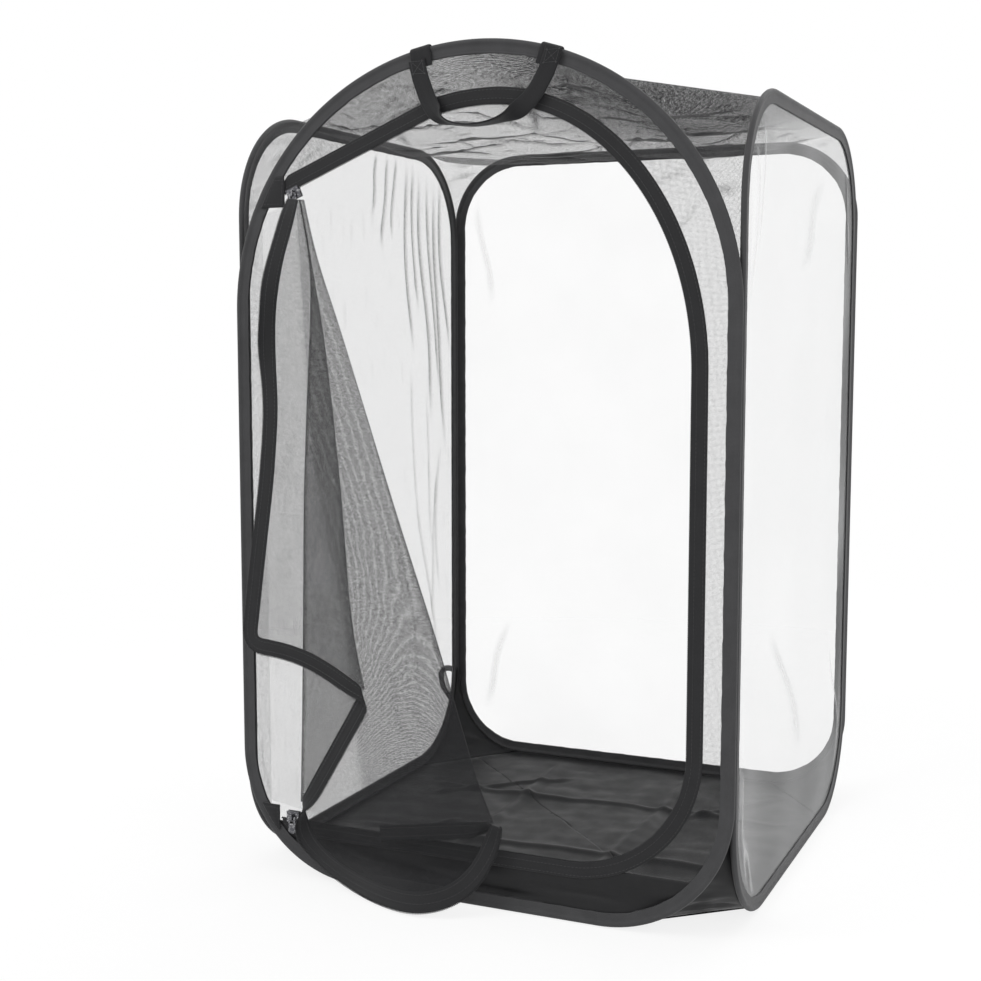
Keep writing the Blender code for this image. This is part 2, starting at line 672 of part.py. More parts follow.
def flap_rim(grid):
    """The flap's free edge: down its outer side and back along its foot, with the way out and the normal."""
    last_row, last_column = len(grid) - 1, len(grid[0]) - 1
    rim = [(i, last_column) for i in range(last_row + 1)]
    rim += [(last_row, j) for j in range(last_column - 1, 0, -1)]
    places = []
    for i, j in rim:
        side = (grid[i][j] - grid[i][j - 1]).normalized() if j == last_column else Vector((0, 0, 0))
        foot = (grid[i][j] - grid[i - 1][j]).normalized() if i == last_row else Vector((0, 0, 0))
        out = (side + foot).normalized()
        over = grid[i][min(j + 1, last_column)] - grid[i][j - 1]
        down = grid[min(i + 1, last_row)][j] - grid[max(i - 1, 0)][j]
        normal = over.cross(down).normalized()
        out = (out - normal * out.dot(normal)).normalized()
        places.append((grid[i][j], out, normal))
    return places


def rim_strip(rim, near, far, thickness):
    """A strip beyond the flap's free edge."""
    half = thickness / 2
    rows = []
    for point, out, normal in rim:
        rows.append([point + out * near + normal * half, point + out * far + normal * half,
                     point + out * far - normal * half, point + out * near - normal * half])
    return loft(rows)


def build_flap(materials):
    """The door's flap, open and hanging in folds, with its own half of the zipper."""
    hinge = add_pivot("door_flap_hinge", front_place(HINGE_X, 0, FLAP_SWING_OFF))
    grid = flap_grid()
    add_piece("door_flap", thick_grid(grid, FLAP_CLOTH), materials["black_mesh"], hinge)
    rim = flap_rim(grid)
    tape_far = FLAP_EDGE_GAP + ZIP_TAPE_WIDTH
    tape = rim_strip(rim, FLAP_EDGE_GAP, tape_far, ZIP_TAPE_CLOTH)
    add_piece("flap_zip_tape", tape, materials["zip_tape"], hinge)
    coil_near = tape_far + GAP
    coil = rim_strip(rim, coil_near, coil_near + COIL_WIDTH, COIL_THICK)
    add_piece("flap_zip_coil", coil, materials["coil"], hinge)


def build_tab(side, across, materials):
    """Webbing wrapped over the front loop, which carries one end of the handle."""
    angle = math.acos(across / (CAGE_WIDTH / 2))
    point, inward = arch_point(angle)
    along = Vector((-inward.y, inward.x))
    clear = BULGE + GAP
    cap = TAB_CLEAR
    diagonal = math.sqrt(0.5)
    inside = [(TAB_LENGTH, clear), (BULGE, clear),
              (BULGE - (BULGE + cap) * diagonal, (BULGE + cap) * diagonal), (-cap, 0)]
    outside = [(TAB_LENGTH, clear + TAB_THICK), (BULGE, clear + TAB_THICK),
               (BULGE - (BULGE + cap + TAB_THICK) * diagonal, (BULGE + cap + TAB_THICK) * diagonal),
               (-cap - TAB_THICK, 0)]
    rear_outside = [(TAB_REAR_LENGTH, outside[0][1])] + outside[1:-1]
    rear_inside = [(TAB_REAR_LENGTH, inside[0][1])] + inside[1:-1]
    section = outside + [(inset, -depth) for inset, depth in reversed(rear_outside)]
    section += [(inset, -depth) for inset, depth in rear_inside] + list(reversed(inside))
    rows = []
    for shift in (-TAB_WIDTH / 2, TAB_WIDTH / 2):
        row = []
        for inset, depth in section:
            at = point + along * shift + inward * inset
            row.append(front_place(at.x, at.y, depth))
        rows.append(row)
    add_piece("handle_tab_" + side, loft(rows), materials["webbing"], smooth=False)


def build_handle(materials):
    """The carrying strap, hanging down in front of the arch from its two tabs."""
    build_tab("left", HANDLE_LEFT, materials)
    build_tab("right", HANDLE_RIGHT, materials)
    reach = max(abs(HANDLE_LEFT), abs(HANDLE_RIGHT))
    crown_up = arch_point(math.acos(reach / (CAGE_WIDTH / 2)))[0].y
    pivot_up = crown_up - HANDLE_PIVOT_DROP
    pivot_depth = BULGE + GAP + TAB_THICK + GAP + STRAP_THICK / 2
    seat = front_place((HANDLE_LEFT + HANDLE_RIGHT) / 2, pivot_up, pivot_depth)
    pivot = add_pivot("carry_handle_hinge", seat)
    rows = []
    for k in range(STRAP_STEPS + 1):
        share = k / STRAP_STEPS
        swing = math.pi * share
        half = (HANDLE_RIGHT - HANDLE_LEFT) / 2
        middle = (HANDLE_RIGHT + HANDLE_LEFT) / 2
        drop = math.sin(swing)
        lean = drop ** STRAP_LEAN_POWER
        point = front_place(middle - half * math.cos(swing), pivot_up - HANDLE_HANG * drop,
                            pivot_depth + HANDLE_SWELL * lean)
        lean_rate = STRAP_LEAN_POWER * drop ** (STRAP_LEAN_POWER - 1) * math.cos(swing)
        along = Vector((half * math.sin(swing), -HANDLE_SWELL * lean_rate, -HANDLE_HANG * math.cos(swing)))
        along.normalize()
        end_wide = Vector((1 if 2 * k <= STRAP_STEPS else -1, 0, 0))
        flat = end_wide.lerp(Vector((0, -1, 0)), lean)
        wide = (flat - along * flat.dot(along)).normalized()
        thin = along.cross(wide)
        rows.append([point + wide * a * STRAP_WIDTH / 2 + thin * b * STRAP_THICK / 2
                     for a, b in ((1, 1), (1, -1), (0, -1), (-1, -1), (-1, 1), (0, 1))])
    add_piece("carry_strap", loft(rows), materials["webbing"], pivot)


def gusset(curve_one, curve_two):
    """Cloth between two loops' rounded corners, ruled from one curve to the other."""
    rows = []
    for one, two in zip(curve_one, curve_two):
        rows.append([one, one.lerp(two, 0.5), two])
    return thick_grid(rows, CLOTH)


def corner_curve(place, half_width, radius, side, top, inner):
    """The inner side of a loop's rounded corner, from the roof's or the floor's edge to the upright."""
    across_centre = side * (half_width - radius)
    up_centre = PANEL_HEIGHT - radius if top else radius
    level_inset = GUSSET_INSET if top else FLOOR_GUSSET_INSET
    sign = 1 if top else -1
    start = ROOF_SEAM_RUN / radius
    curve = []
    for k in range(GUSSET_STEPS + 1):
        angle = start + (math.pi / 2 - start) * k / GUSSET_STEPS
        reach = radius - level_inset - (GUSSET_INSET - level_inset) * math.sin(angle)
        across = across_centre + side * reach * math.sin(angle)
        curve.append(place(across, up_centre + sign * reach * math.cos(angle), inner))
    return curve


def roof_angle():
    """The arch's angle at the end of the roof's front edge."""
    return math.acos(ROOF_FRONT_HALF / (CAGE_WIDTH / 2))


def arch_curve(side, inner):
    """The inner side of the front arch, from the roof's front edge down to its springing."""
    curve = []
    for k in range(GUSSET_STEPS + 1):
        angle = (roof_angle() - ROOF_SEAM_RUN / ARCH_RISE) * (1 - k / GUSSET_STEPS)
        point, inward = arch_point(angle)
        at = point + inward * GUSSET_INSET
        curve.append(front_place(side * at.x, at.y, inner))
    return curve


def build_gussets(materials):
    """Corner cloth: opaque at the floor, mesh at the roof."""
    width = CAGE_WIDTH / 2
    for side, word, place in ((-1, "left", left_place), (1, "right", right_place)):
        for ahead, end in ((-1, "front"), (1, "back")):
            for top, level in ((False, "floor"), (True, "roof")):
                off = LIP + GAP + CLOTH if top else BULGE + GAP
                one = corner_curve(place, SIDE_HALF, SIDE_CORNER_RADIUS, ahead, top, side * off)
                if end == "back":
                    two = corner_curve(back_place, width, BACK_CORNER_RADIUS, side, top, off)
                elif top:
                    one = side_to_springing(place, side * off)
                    two = arch_curve(side, -off)
                else:
                    two = corner_curve(front_place, width, FRONT_FOOT_RADIUS, side, top, -off)
                cloth = materials["black_mesh"] if top else materials["polyester"]
                add_piece("_".join((level, "gusset", end, word)), gusset(one, two), cloth)


def side_to_springing(place, inner):
    """A side loop's front upper corner and the upright below it, down to the arch's springing."""
    reach = SIDE_CORNER_RADIUS - GUSSET_INSET
    arc = math.pi / 2 * reach
    straight = PANEL_HEIGHT - SIDE_CORNER_RADIUS - ARCH_SPRING
    curve = []
    for k in range(GUSSET_STEPS + 1):
        run = ROOF_SEAM_RUN + (arc + straight - ROOF_SEAM_RUN) * k / GUSSET_STEPS
        angle = min(run, arc) / reach
        across = -(SIDE_HALF - SIDE_CORNER_RADIUS) - reach * math.sin(angle)
        up = PANEL_HEIGHT - SIDE_CORNER_RADIUS + reach * math.cos(angle) - max(run - arc, 0)
        curve.append(place(across, up, inner))
    return curve


def build_floor(materials):
    """The opaque floor cloth; its underside is what the cage rests on."""
    edge_x = CAGE_WIDTH / 2 - 2 * BULGE - GAP
    edge_y = CAGE_DEPTH / 2 - 2 * BULGE - GAP
    front_x = CAGE_WIDTH / 2 - FRONT_FOOT_RADIUS
    back_x = CAGE_WIDTH / 2 - BACK_CORNER_RADIUS
    side_y = SIDE_HALF - SIDE_CORNER_RADIUS
    outline = [(-front_x, -edge_y), (front_x, -edge_y), (edge_x, -side_y), (edge_x, side_y),
               (back_x, edge_y), (-back_x, edge_y), (-edge_x, side_y), (-edge_x, -side_y)]
    flat = [Vector((x, y, 0)) for x, y in outline]
    add_piece("floor_sheet", plate(flat, Vector((0, 0, FLOOR_CLOTH))), materials["polyester"], smooth=False)


def roof_slack(x, y, to_edge):
    """How far the slack roof hangs below its seams: soft folds crossing a shallow sag."""
    fade = min(to_edge / ROOF_FOLD_FADE, 1)
    folds = 0
    for degrees, spacing_share, start_share in ROOF_FOLD_SHARES:
        way = math.radians(degrees)
        along = (x * math.cos(way) + y * math.sin(way)) / (ROOF_FOLD_SPACING * spacing_share)
        folds += math.cos(math.tau * (along + start_share)) / len(ROOF_FOLD_SHARES)
    return (ROOF_SAG + ROOF_FOLD_DEPTH * (1 - folds)) * fade * fade * (3 - 2 * fade)


def build_roof(materials):
    """The mesh roof: level at the sides and back, drawn up to the arch in front, and slack between."""
    off = LIP + GAP + CLOTH
    edge_x = -LEFT_X - off
    edge_y = -FRONT_Y - off
    level = PANEL_HEIGHT - ROOF_DROP
    side_y = SIDE_HALF - SIDE_CORNER_RADIUS
    end_point, end_inward = arch_point(roof_angle())
    end_up = end_point.y + end_inward.y * GUSSET_INSET
    front_half = end_point.x + end_inward.x * GUSSET_INSET
    back_half = CAGE_WIDTH / 2 - BACK_CORNER_RADIUS
    step = 2 * side_y / (ROOF_ROWS - 3)
    stations = [-edge_y] + [-side_y + step * k for k in range(ROOF_ROWS - 2)] + [edge_y]
    grid = []
    for y in stations:
        if y < -side_y:
            half, lift = front_half, end_up - level
        elif y > side_y:
            half, lift = back_half, 0
        else:
            half, lift = edge_x, 0
        rise_share = (edge_y - y) / (2 * edge_y)
        row = []
        for j in range(ROOF_COLUMNS + 1):
            x = half * (-1 + 2 * j / ROOF_COLUMNS)
            under_arch = max(min(x, front_half), -front_half)
            point, inward = arch_point(math.acos(under_arch / (CAGE_WIDTH / 2 - GUSSET_INSET)))
            crown = (point.y + inward.y * GUSSET_INSET - end_up) * rise_share ** ROOF_CROWN_POWER
            slack = roof_slack(x, y, min(half - abs(x), edge_y - abs(y)))
            row.append(Vector((x, y, level + lift + crown - slack)))
        grid.append(row)
    add_piece("roof_mesh", thick_grid(grid, CLOTH), materials["black_mesh"])


def build_storage_loop(materials, pivot):
    """A short webbing loop, sewn to the outside of the back loop's lower left corner."""
    depth = -(BULGE + GAP)
    edge = -CAGE_WIDTH / 2
    eye = Vector((edge - STORAGE_OUT, STORAGE_TOP - STORAGE_BAND / 2 - STORAGE_RADIUS))
    path = [Vector((edge + STORAGE_FOOT_IN, STORAGE_FOOT_HIGH))]
    for k in range(CORNER_STEPS + 1):
        angle = math.pi * k / CORNER_STEPS
        path.append(eye + Vector((math.cos(angle), math.sin(angle))) * STORAGE_RADIUS)
    path.append(Vector((eye.x - STORAGE_RADIUS, eye.y - STORAGE_NECK / 2)))
    path.append(Vector((edge + STORAGE_FOOT_IN / 2, STORAGE_FOOT_LOW)))
    rows = []
    for k, point in enumerate(path):
        ahead = path[min(k + 1, len(path) - 1)] - path[max(k - 1, 0)]
        out = Vector((ahead.y, -ahead.x)).normalized() * STORAGE_BAND / 2
        rows.append([back_place(point.x + out.x, point.y + out.y, depth),
                     back_place(point.x + out.x, point.y + out.y, depth - STORAGE_THICK),
                     back_place(point.x - out.x, point.y - out.y, depth - STORAGE_THICK),
                     back_place(point.x - out.x, point.y - out.y, depth)])
    add_piece("storage_loop", loft(rows), materials["webbing"], pivot)


def build_materials():
    """Colours and finishes of the cage's cloths, film, steel and zipper."""
    return {
        "binding": make_material("binding_tape", (0.075, 0.075, 0.078), 0.75),
        "steel": make_material("spring_steel", (0.55, 0.55, 0.57), 0.35, metallic=1.0),
        "black_mesh": make_material("black_mesh", (0.02, 0.02, 0.022), 0.8, alpha=0.45),
        "pale_mesh": make_material("pale_mesh", (0.75, 0.75, 0.76), 0.8, alpha=0.3),
        "film": make_material("clear_film", (0.95, 0.96, 0.97), 0.15, alpha=0.2),
        "polyester": make_material("black_polyester", (0.03, 0.03, 0.032), 0.6),
        "zip_tape": make_material("zipper_tape", (0.02, 0.02, 0.022), 0.7),
        "coil": make_material("zipper_coil", (0.03, 0.03, 0.03), 0.45),
        "slider": make_material("slider_metal", (0.08, 0.08, 0.085), 0.4, metallic=0.6),
        "webbing": make_material("webbing", (0.02, 0.02, 0.022), 0.8),
    }


def build_cage():
    """Put the cage together, panel by panel."""
    clear_scene()
    materials = build_materials()
    left = add_pivot("left_panel_hinge", FRONT_LEFT_AXIS)
    right = add_pivot("right_panel_hinge", FRONT_RIGHT_AXIS)
    back = add_pivot("back_panel_hinge", BACK_RIGHT_AXIS, right)
    side_outline = rounded_loop(SIDE_HALF, PANEL_HEIGHT, SIDE_CORNER_RADIUS)
    back_outline = rounded_loop(CAGE_WIDTH / 2, PANEL_HEIGHT, BACK_CORNER_RADIUS)
    build_loop("front", front_loop(), front_place, materials, None)
    build_loop("left", side_outline, left_place, materials, left)
    build_loop("right", side_outline, right_place, materials, right)
    build_loop("back", back_outline, back_place, materials, back)
    build_front_cloth(materials)
    build_sheet("left_mesh_panel", side_outline, left_place, CLOTH, materials["pale_mesh"], left)
    build_sheet("right_clear_window", side_outline, right_place, FILM, materials["film"], right)
    build_sheet("back_clear_window", back_outline, back_place, FILM, materials["film"], back)
    build_floor(materials)
    build_roof(materials)
    build_gussets(materials)
    build_zipper(materials)
    build_slider("upper", ZIP_TOP, ZIP_RUN, Vector((ZIP_RUN.y, -ZIP_RUN.x)), materials)
    build_slider("lower", SILL_START, Vector((1, 0)), Vector((0, 1)), materials)
    build_flap(materials)
    build_handle(materials)
    build_storage_loop(materials, back)


build_cage()
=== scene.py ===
"""Looks of the pop-up insect cage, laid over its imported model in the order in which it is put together.

Units are metres. +X is the viewer's right, +Y runs from the front panel to the back one, and +Z is up.
"""

import math

import bmesh
import bpy
import numpy as np
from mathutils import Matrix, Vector


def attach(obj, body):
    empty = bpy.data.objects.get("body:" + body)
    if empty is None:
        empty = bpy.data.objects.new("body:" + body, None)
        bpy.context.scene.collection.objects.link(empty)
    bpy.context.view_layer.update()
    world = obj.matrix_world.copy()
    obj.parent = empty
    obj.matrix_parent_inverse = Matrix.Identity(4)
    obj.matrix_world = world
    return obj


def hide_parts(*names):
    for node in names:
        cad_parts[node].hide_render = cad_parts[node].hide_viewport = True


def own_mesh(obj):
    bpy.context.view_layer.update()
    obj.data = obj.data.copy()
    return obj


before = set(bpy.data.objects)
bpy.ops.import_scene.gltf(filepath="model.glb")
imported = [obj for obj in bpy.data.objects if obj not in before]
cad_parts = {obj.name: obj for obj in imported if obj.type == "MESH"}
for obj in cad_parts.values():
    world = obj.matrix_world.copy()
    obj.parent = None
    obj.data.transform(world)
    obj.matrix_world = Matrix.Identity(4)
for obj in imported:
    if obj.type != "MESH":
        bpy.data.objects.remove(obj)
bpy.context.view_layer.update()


# Spring wires. Each of the four panels is held open by a loop of round spring steel, 2.6 mm thick.
# The wire is drawn and oiled, and it lies inside the binding, so it keeps the model's own mesh.
def new_finish(name, colour, roughness):
    """A material with its node tree and shader, for the nodes of one finish."""
    finish = bpy.data.materials.new(name)
    finish.use_nodes = True
    shader = finish.node_tree.nodes["Principled BSDF"]
    shader.inputs["Base Color"].default_value = (*colour, 1)
    shader.inputs["Roughness"].default_value = roughness
    return finish, finish.node_tree, shader


def put(tree, kind, inputs, **settings):
    """Add a node with its settings; each input is a value or another node's output."""
    made = tree.nodes.new(kind)
    for key, value in settings.items():
        setattr(made, key, value)
    for key, value in inputs.items():
        if isinstance(value, bpy.types.NodeSocket):
            tree.links.new(value, made.inputs[key])
        else:
            made.inputs[key].default_value = value
    return made


def sum_of(tree, operation, *values):
    """The output of one sum on numbers or on other nodes' outputs."""
    return put(tree, "ShaderNodeMath", dict(enumerate(values)), operation=operation).outputs[0]


def spread(tree, value, low, high, to_low, to_high, ease="LINEAR"):
    """A number carried from one range to another."""
    ranges = {"Value": value, "From Min": low, "From Max": high, "To Min": to_low, "To Max": to_high}
    return put(tree, "ShaderNodeMapRange", ranges, interpolation_type=ease).outputs["Result"]


def tint(tree, share, dark, light):
    """A colour between two, by a share."""
    made = put(tree, "ShaderNodeMix", {0: share, 6: (*dark, 1), 7: (*light, 1)}, data_type="RGBA")
    return made.outputs[2]


def noise(tree, where, scale, detail, output=0):
    """Uneven grain of one size."""
    grain = put(tree, "ShaderNodeTexNoise", {"Vector": where, "Scale": scale, "Detail": detail})
    return grain.outputs[output]


def object_place(tree):
    """Places in the piece's own metres."""
    return put(tree, "ShaderNodeTexCoord", {}).outputs["Object"]


def bump(tree, height, distance, strength=1.0):
    """A relief, as the shader's normal."""
    inputs = {"Height": height, "Distance": distance, "Strength": strength}
    return put(tree, "ShaderNodeBump", inputs).outputs[0]


def drive(shader, label, value):
    """Another node's output sets one of the shader's inputs."""
    shader.id_data.links.new(value, shader.inputs[label])


def steel_wire_finish():
    finish, tree, shader = new_finish("drawn_spring_steel", (0.46, 0.46, 0.48), 0.34)
    shader.inputs["Metallic"].default_value = 1
    where = object_place(tree)
    scuff = noise(tree, where, 420.0, 3.0)
    drive(shader, "Base Color", tint(tree, scuff, (0.34, 0.34, 0.36), (0.58, 0.58, 0.60)))
    drive(shader, "Roughness", spread(tree, scuff, 0.3, 0.7, 0.26, 0.46))
    return finish


wire_finish = steel_wire_finish()
for panel in ("front", "left", "right", "back"):
    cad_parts[panel + "_loop_wire"].data.materials.clear()
    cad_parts[panel + "_loop_wire"].data.materials.append(wire_finish)


# Bindings. Woven polyester tape is folded round each wire and sewn through both lips, with the
# panel's cloth between them. It is bulged by the wire and puckers a little between the stitches.
PANEL_PLANE = 0.1978
PANEL_HEIGHT = 0.600
HALF_WIDTH = 0.200
FRONT_SPRINGING = 0.4435
FRONT_RISE = 0.1915
FRONT_FOOT = 0.100
SIDE_HALF = 0.1951
SIDE_CORNER = 0.085
BACK_CORNER = 0.070
BINDING_STATIONS = 380
BINDING_STITCH_INSET = 0.0084
BINDING_LIP = 0.00112
PUCKER_WIDE = 0.00016
PUCKER_THICK = 0.00006
WIDE_RUNS = (0.037, 0.021, 0.0125)
THICK_RUNS = (0.052, 0.029, 0.0094)
CORNER_STEPS = 40
# From the lip to the loop's outer edge: inset from that edge, and half of the thickness there
BINDING_OUTSIDE = ((0.0105, 0.00112), (0.0102, 0.00124), (0.0093, 0.00124), (0.0088, 0.00114),
                   (0.0096, 0.00108), (0.0092, 0.00114), (0.0086, 0.00123), (0.0066, 0.00122),
                   (0.0054, 0.00126), (0.0045, 0.00142), (0.0037, 0.00176), (0.0030, 0.00205),
                   (0.0022, 0.00220), (0.0014, 0.00205), (0.0007, 0.00161), (0.0002, 0.00090))
BINDING_INSIDE = ((0.0105, 0.0006), (0.0048, 0.0006), (0.0038, 0.0010), (0.0022, 0.0016),
                  (0.0011, 0.0012))


def unit(vectors):
    """Vectors brought to length 1."""
    return vectors / np.linalg.norm(vectors, axis=-1)[..., None]


def run_along(points):
    """How far along a line of points each of them lies."""
    return np.concatenate([[0], np.cumsum(np.linalg.norm(np.diff(points, axis=0), axis=1))])


def smooth(share):
    """A share held between 0 and 1 and eased at both."""
    share = np.clip(share, 0, 1)
    return share * share * (3 - 2 * share)


def arc(centre, radii, start, end, count):
    """Points of an ellipse's arc, each with its inward normal."""
    turn = np.radians(np.linspace(start, end, count))
    ray = np.stack([np.cos(turn), np.sin(turn)], -1)
    inward = -ray / np.array(radii)
    return np.array(centre) + ray * np.array(radii), unit(inward)


def joined(*arcs):
    """Arcs joined to one outline; the straight runs lie between them."""
    return np.vstack([a[0] for a in arcs]), np.vstack([a[1] for a in arcs])


def rounded_panel(half, radius):
    """The outer edge of a side or back loop."""
    near, far, size = half - radius, PANEL_HEIGHT - radius, (radius, radius)
    return joined(arc((near, radius), size, -90, 0, CORNER_STEPS),
                  arc((near, far), size, 0, 90, CORNER_STEPS),
                  arc((-near, far), size, 90, 180, CORNER_STEPS),
                  arc((-near, radius), size, 180, 270, CORNER_STEPS))


def front_outline():
    """The outer edge of the front loop, with round feet and a half-round arch."""
    near, size = HALF_WIDTH - FRONT_FOOT, (FRONT_FOOT, FRONT_FOOT)
    return joined(arc((near, FRONT_FOOT), size, -90, 0, CORNER_STEPS),
                  arc((0, FRONT_SPRINGING), (HALF_WIDTH, FRONT_RISE), 0, 180, 180),
                  arc((-near, FRONT_FOOT), size, 180, 270, CORNER_STEPS))


def even_run(points, inward, count):
    """Even steps round a closed outline: places, inward normals, and the run at each step and the end."""
    ends = np.vstack([points, points[:1]])
    run = run_along(ends)
    steps = np.linspace(0, run[-1], count + 1)
    turned = np.vstack([inward, inward[:1]])
    places = np.stack([np.interp(steps[:-1], run, ends[:, k]) for k in (0, 1)], -1)
    normals = np.stack([np.interp(steps[:-1], run, turned[:, k]) for k in (0, 1)], -1)
    return places, unit(normals), steps


def on_panel(panel, across, up, out):
    """Places on a panel: across and up on its cloth, out away from the cage."""
    across, up, out = np.broadcast_arrays(across, up, out)
    away = PANEL_PLANE + out
    if panel == "front":
        return np.stack([across, -away, up], -1)
    if panel == "back":
        return np.stack([across, away, up], -1)
    return np.stack([-away if panel == "left" else away, across, up], -1)


def surface(name, places, cloth, finish, wrap_rows=False, wrap_columns=False, flip=False, sharp=None):
    """A mesh over rows and columns of places; its UV map holds the cloth's own lengths in metres."""
    rows, columns = places.shape[:2]
    i, j = np.meshgrid(np.arange(rows - 1 + wrap_rows), np.arange(columns - 1 + wrap_columns),
                       indexing="ij")
    corners = [(i, j), (i, j + 1), (i + 1, j + 1), (i + 1, j)]
    if flip:
        corners.reverse()
    faces = np.stack([(a % rows) * columns + b % columns for a, b in corners], -1).reshape(-1, 4)
    mesh = bpy.data.meshes.new(name)
    mesh.from_pydata(places.reshape(-1, 3).tolist(), [], faces.tolist())
    layer = mesh.uv_layers.new(name="cloth")
    corner_cloth = np.stack([cloth[a, b] for a, b in corners], -2)
    layer.data.foreach_set("uv", corner_cloth.reshape(-1).astype(np.float32))
    mesh.shade_smooth()
    if wrap_columns:
        shape = bmesh.new()
        shape.from_mesh(mesh)
        open_edges = [edge for edge in shape.edges if edge.is_boundary]
        if open_edges:
            bmesh.ops.holes_fill(shape, edges=open_edges)
        bmesh.ops.recalc_face_normals(shape, faces=shape.faces)
        shape.to_mesh(mesh)
        shape.free()
    if sharp:
        mesh.set_sharp_from_angle(angle=math.radians(sharp))
    mesh.materials.append(finish)
    piece = bpy.data.objects.new(name, mesh)
    bpy.context.scene.collection.objects.link(piece)
    return piece


def woven_finish(name, dark, light, roughness, pitch, relief, weave, sheen=0.2):
    """Close-woven cloth or tape: ribs, a herringbone or a plain weave that follows its UV map."""
    finish, tree, shader = new_finish(name, light, roughness)
    shader.inputs["Sheen Weight"].default_value = sheen
    shader.inputs["Sheen Roughness"].default_value = 0.45
    shader.inputs["Specular IOR Level"].default_value = 0.3
    cloth = put(tree, "ShaderNodeUVMap", {}, uv_map="cloth").outputs[0]
    axes = put(tree, "ShaderNodeSeparateXYZ", {0: cloth})
    along = sum_of(tree, "DIVIDE", axes.outputs[0], pitch)
    over = sum_of(tree, "DIVIDE", axes.outputs[1], pitch)
    if weave == "ribs":
        ridge = sum_of(tree, "PINGPONG", along, 0.5)
        cross = sum_of(tree, "PINGPONG", over, 0.25)
    elif weave == "herringbone":
        bent = sum_of(tree, "PINGPONG", over, 2.5)
        ridge = sum_of(tree, "PINGPONG", sum_of(tree, "ADD", along, bent), 0.5)
        cross = sum_of(tree, "PINGPONG", over, 0.25)
    else:
        ridge = sum_of(tree, "PINGPONG", along, 0.5)
        cross = sum_of(tree, "PINGPONG", over, 0.5)
    height = sum_of(tree, "ADD", sum_of(tree, "MULTIPLY", ridge, 1.5),
                    sum_of(tree, "MULTIPLY", cross, 0.5))
    drive(shader, "Normal", bump(tree, height, relief, 0.8))
    handled = noise(tree, cloth, 55.0, 4.0)
    lint = noise(tree, cloth, 1500.0, 1.0)
    worn = sum_of(tree, "ADD", sum_of(tree, "MULTIPLY", handled, 0.9),
                  sum_of(tree, "MULTIPLY", lint, 0.35))
    worn = sum_of(tree, "ADD", worn, sum_of(tree, "MULTIPLY", ridge, 0.5))
    share = spread(tree, worn, 0.45, 1.15, 0.0, 1.0)
    drive(shader, "Base Color", tint(tree, share, dark, light))
    drive(shader, "Roughness", spread(tree, handled, 0.3, 0.7, roughness - 0.08, roughness + 0.08))
    return finish


def soft_waves(run, length, sizes, seed):
    """Uneven waves round a closed run, from about -1 to 1, which meet at its ends."""
    phases = np.random.default_rng(seed).uniform(0, math.tau, len(sizes))
    return sum(np.sin(math.tau * round(length / size) * run / length + phase)
               for size, phase in zip(sizes, phases)) / math.sqrt(len(sizes))


def binding(panel, outline, seed):
    """The folded tape round one loop, and the two lines that its stitches follow."""
    places, inward, run = even_run(*outline, BINDING_STATIONS)
    outside, inside = np.array(BINDING_OUTSIDE), np.array(BINDING_INSIDE)
    away = np.array((1, -1))
    section = np.vstack([outside, [(0, 0)], (outside * away)[::-1], inside * away, [(0.0006, 0)],
                         inside[::-1]])
    lean = np.clip(section[:, 0] / BINDING_OUTSIDE[0][0], 0, 1)
    wide = soft_waves(run[:-1], run[-1], WIDE_RUNS, seed)[:, None] * PUCKER_WIDE * lean
    wave = soft_waves(run[:-1], run[-1], THICK_RUNS, seed + 1)[:, None] * PUCKER_THICK * lean
    inset, depth = section[:, 0] + wide, section[:, 1] + wave
    across = places[:, :1] + inward[:, :1] * inset
    up = places[:, 1:] + inward[:, 1:] * inset
    round_it = run_along(section)
    round_it = np.append(round_it, round_it[-1] + np.linalg.norm(section[-1] - section[0]))
    cloth = np.stack(np.meshgrid(run, round_it, indexing="ij"), -1)
    piece = surface(panel + "_binding_tape", on_panel(panel, across, up, depth), cloth, binding_finish,
                    wrap_rows=True, wrap_columns=True, sharp=60)
    middle = places + inward * BINDING_STITCH_INSET
    lines = [on_panel(panel, middle[:, 0], middle[:, 1], side * BINDING_LIP) for side in (1, -1)]
    return piece, lines


binding_finish = woven_finish("binding_tape_cloth", (0.040, 0.040, 0.042), (0.078, 0.078, 0.081), 0.62,
                              0.00085, 0.00012, "ribs")
outlines = {"front": front_outline(), "left": rounded_panel(SIDE_HALF, SIDE_CORNER),
            "right": rounded_panel(SIDE_HALF, SIDE_CORNER), "back": rounded_panel(HALF_WIDTH, BACK_CORNER)}
binding_seams = {}
for seed, (panel, outline) in enumerate(outlines.items()):
    tape, binding_seams[panel] = binding(panel, outline, 3 * seed + 11)
    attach(tape, panel + "_panel")
    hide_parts(panel + "_loop_binding")


# Seam stitches. A lockstitch of black polyester thread holds each binding's lips, one row on each
# face. Geometry Nodes lays the stitches along the seam, each as a short, slightly flattened loop.
STITCH_STEP = 0.0030
STITCH_LENGTH = 0.0023
THREAD = 0.00042


